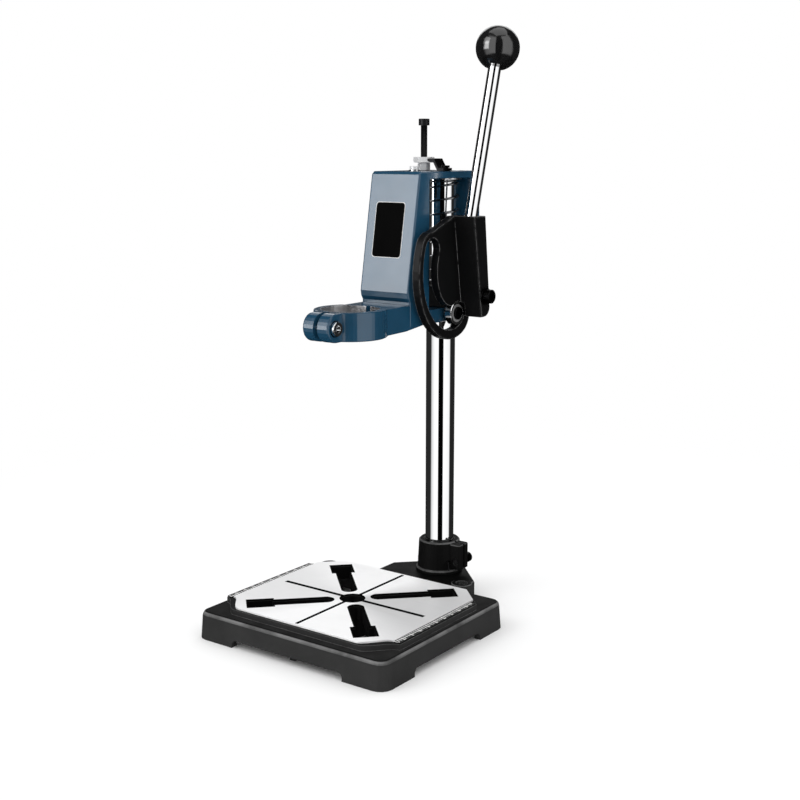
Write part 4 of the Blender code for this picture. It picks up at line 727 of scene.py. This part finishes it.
def make_numbers():
    """Ruler numbers on both strips, at every step each way from the plate's centre."""
    low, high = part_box("scale_strip_right")
    for side, letter in ((-1, "l"), (1, "r")):
        for count in NUMBER_STEPS:
            if count:
                make_number(f"scale_number_{letter}{count - NUMBER_STEPS.start}", str(abs(count)),
                            side * (high.x - NUMBER_INSET), COLLAR_CENTRE_Y + count * NUMBER_STEP,
                            side * math.pi / 2)


def coil_points(bottom, top):
    """Centre line of the spring's wire: a close turn, the open ones, a close turn."""
    pitch = (top - bottom - 2 * SPRING_END_PITCH) / SPRING_TURNS
    for index in range((SPRING_TURNS + 2) * SPRING_POINTS + 1):
        turn = index / SPRING_POINTS
        opened = min(max(turn - 1, 0), SPRING_TURNS)
        level = bottom + opened * pitch + (turn - opened) * SPRING_END_PITCH
        angle = turn * math.tau
        yield (SPRING_RADIUS * math.cos(angle), SPRING_RADIUS * math.sin(angle), level, 1)


def coil_mesh(bottom, top):
    """Mesh of round wire along the coil."""
    curve = bpy.data.curves.new("spring_wire", "CURVE")
    curve.dimensions = "3D"
    curve.bevel_depth = SPRING_WIRE / 2
    curve.bevel_resolution = SPRING_WIRE_DETAIL
    curve.use_fill_caps = True
    points = list(coil_points(bottom, top))
    line = curve.splines.new("POLY")
    line.points.add(len(points) - 1)
    for point, place in zip(line.points, points):
        point.co = place
    shown = add_object("spring_wire", curve)
    bpy.context.view_layer.update()
    bm = bmesh.new()
    bm.from_mesh(bpy.data.meshes.new_from_object(shown))
    bpy.data.objects.remove(shown)
    return bm


def make_spring():
    """Return spring in full detail: round wire, closed ends, the same coils as the CAD's."""
    low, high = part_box("spring")
    coil = coil_mesh(low.z + SPRING_WIRE / 2, high.z - SPRING_WIRE / 2)
    made = add_mesh("spring_wire", coil, "spring_steel", "head")
    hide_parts("spring")
    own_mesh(made)


# Camera, floor and light

def face_back(made, place, back):
    """Puts a camera or lamp in its place, with its back turned to a direction."""
    made.location = place
    made.rotation_mode = "QUATERNION"
    made.rotation_quaternion = Vector(back).to_track_quat("Z", "Y")


def make_camera():
    data = bpy.data.cameras.new("camera")
    data.lens = CAMERA_LENS
    data.sensor_width = CAMERA_SENSOR
    data.clip_start = CAMERA_CLIP
    camera = add_object("camera", data)
    face_back(camera, CAMERA_PLACE, CAMERA_BACK)
    bpy.context.scene.camera = camera


def floor_material():
    """Pale matt floor that turns into plain white away from the stand."""
    s = Shader("floor")
    s.set(colour=s.mix(s.noise(3, detail=2), grey(0.93), grey(0.95)), rough=0.6, specular=0.0)
    away = s.vector("LENGTH", s.place()).outputs["Value"]
    white = s.node("ShaderNodeEmission").outputs["Emission"]
    seen = s.mix_shaders(s.between(away, FLOOR_FADE, smooth=True), s.bsdf.outputs["BSDF"], white)
    s.link(seen, s.tree.nodes["Material Output"].inputs["Surface"])
    return s.material


def make_floor():
    bm = bmesh.new()
    bmesh.ops.create_grid(bm, x_segments=1, y_segments=1, size=FLOOR_HALF)
    mesh = bpy.data.meshes.new("floor")
    bm.to_mesh(mesh)
    bm.free()
    mesh.materials.append(floor_material())
    floor = add_object("floor", mesh)
    floor.visible_glossy = False


def panel_ring(n, turn):
    """Brightness of the ring of panels at one angle round the stand."""
    ramp = n.node("ShaderNodeValToRGB")
    n.link(n.sum(n.math("DIVIDE", turn, math.tau), 0.5), ramp.inputs["Fac"])
    stops = ramp.color_ramp.elements
    while len(stops) > 1:
        stops.remove(stops[-1])
    stops[0].position = 0.0
    stops[0].color = grey(PANELS[0][1])
    for degrees, level in PANELS[1:]:
        stops.new(degrees / 360 + 0.5).color = grey(level)
    return n.product(ramp.outputs["Color"], PANEL_STRENGTH)


def lit_card(n, degrees, height, sides, heights, strength):
    """Brightness of a card with soft edges."""
    fades = [n.between(degrees, span, smooth=True) for span in sides]
    fades += [n.between(height, span, smooth=True) for span in heights]
    return n.product(*fades, strength)


def studio_level(n):
    """Brightness of the studio along a reflected ray."""
    split = n.node("ShaderNodeSeparateXYZ")
    n.link(n.node("ShaderNodeTexCoord").outputs["Generated"], split.inputs["Vector"])
    height = split.outputs["Z"]
    turn = n.math("ARCTAN2", split.outputs["X"], n.product(split.outputs["Y"], -1.0))
    degrees = n.product(turn, 180 / math.pi)
    over = n.between(height, PANEL_TOP, smooth=True)
    lost = n.product(n.between(height, PANEL_FOOT, smooth=True), PANEL_FOOT_LOSS)
    ring = n.product(panel_ring(n, turn), n.less(1.0, lost), n.less(1.0, over))
    front = n.sum(ring, lit_card(n, degrees, height, **SOFTBOX))
    return n.greatest(front, lit_card(n, degrees, height, **BACK_CARD),
                      n.product(over, CEILING_STRENGTH))


def background(n, strength):
    made = n.node("ShaderNodeBackground")
    made.inputs["Color"].default_value = grey(1)
    n.feed(made.inputs["Strength"], strength)
    return made.outputs["Background"]


def make_world():
    """White to the camera, even light on matt surfaces, and the studio in reflections."""
    world = bpy.data.worlds.new("studio")
    bpy.context.scene.world = world
    world.use_nodes = True
    n = Nodes(world.node_tree)
    n.tree.nodes.clear()
    ray = n.node("ShaderNodeLightPath").outputs
    lit = n.mix_shaders(ray["Is Glossy Ray"], background(n, ROOM_STRENGTH),
                        background(n, studio_level(n)))
    seen = n.mix_shaders(ray["Is Camera Ray"], lit, background(n, 1.0))
    n.link(seen, n.node("ShaderNodeOutputWorld").inputs["Surface"])


def make_lamps():
    for name, place, side, power in LAMPS:
        data = bpy.data.lights.new(name, "AREA")
        data.size = side
        data.energy = power
        face_back(add_object(name, data), place, Vector(place) - Vector(LAMP_AIM))


dress_nodes()
make_label()
make_numbers()
make_spring()
make_camera()
make_floor()
make_world()
make_lamps()

scene = bpy.context.scene
scene.view_settings.view_transform = "Standard"
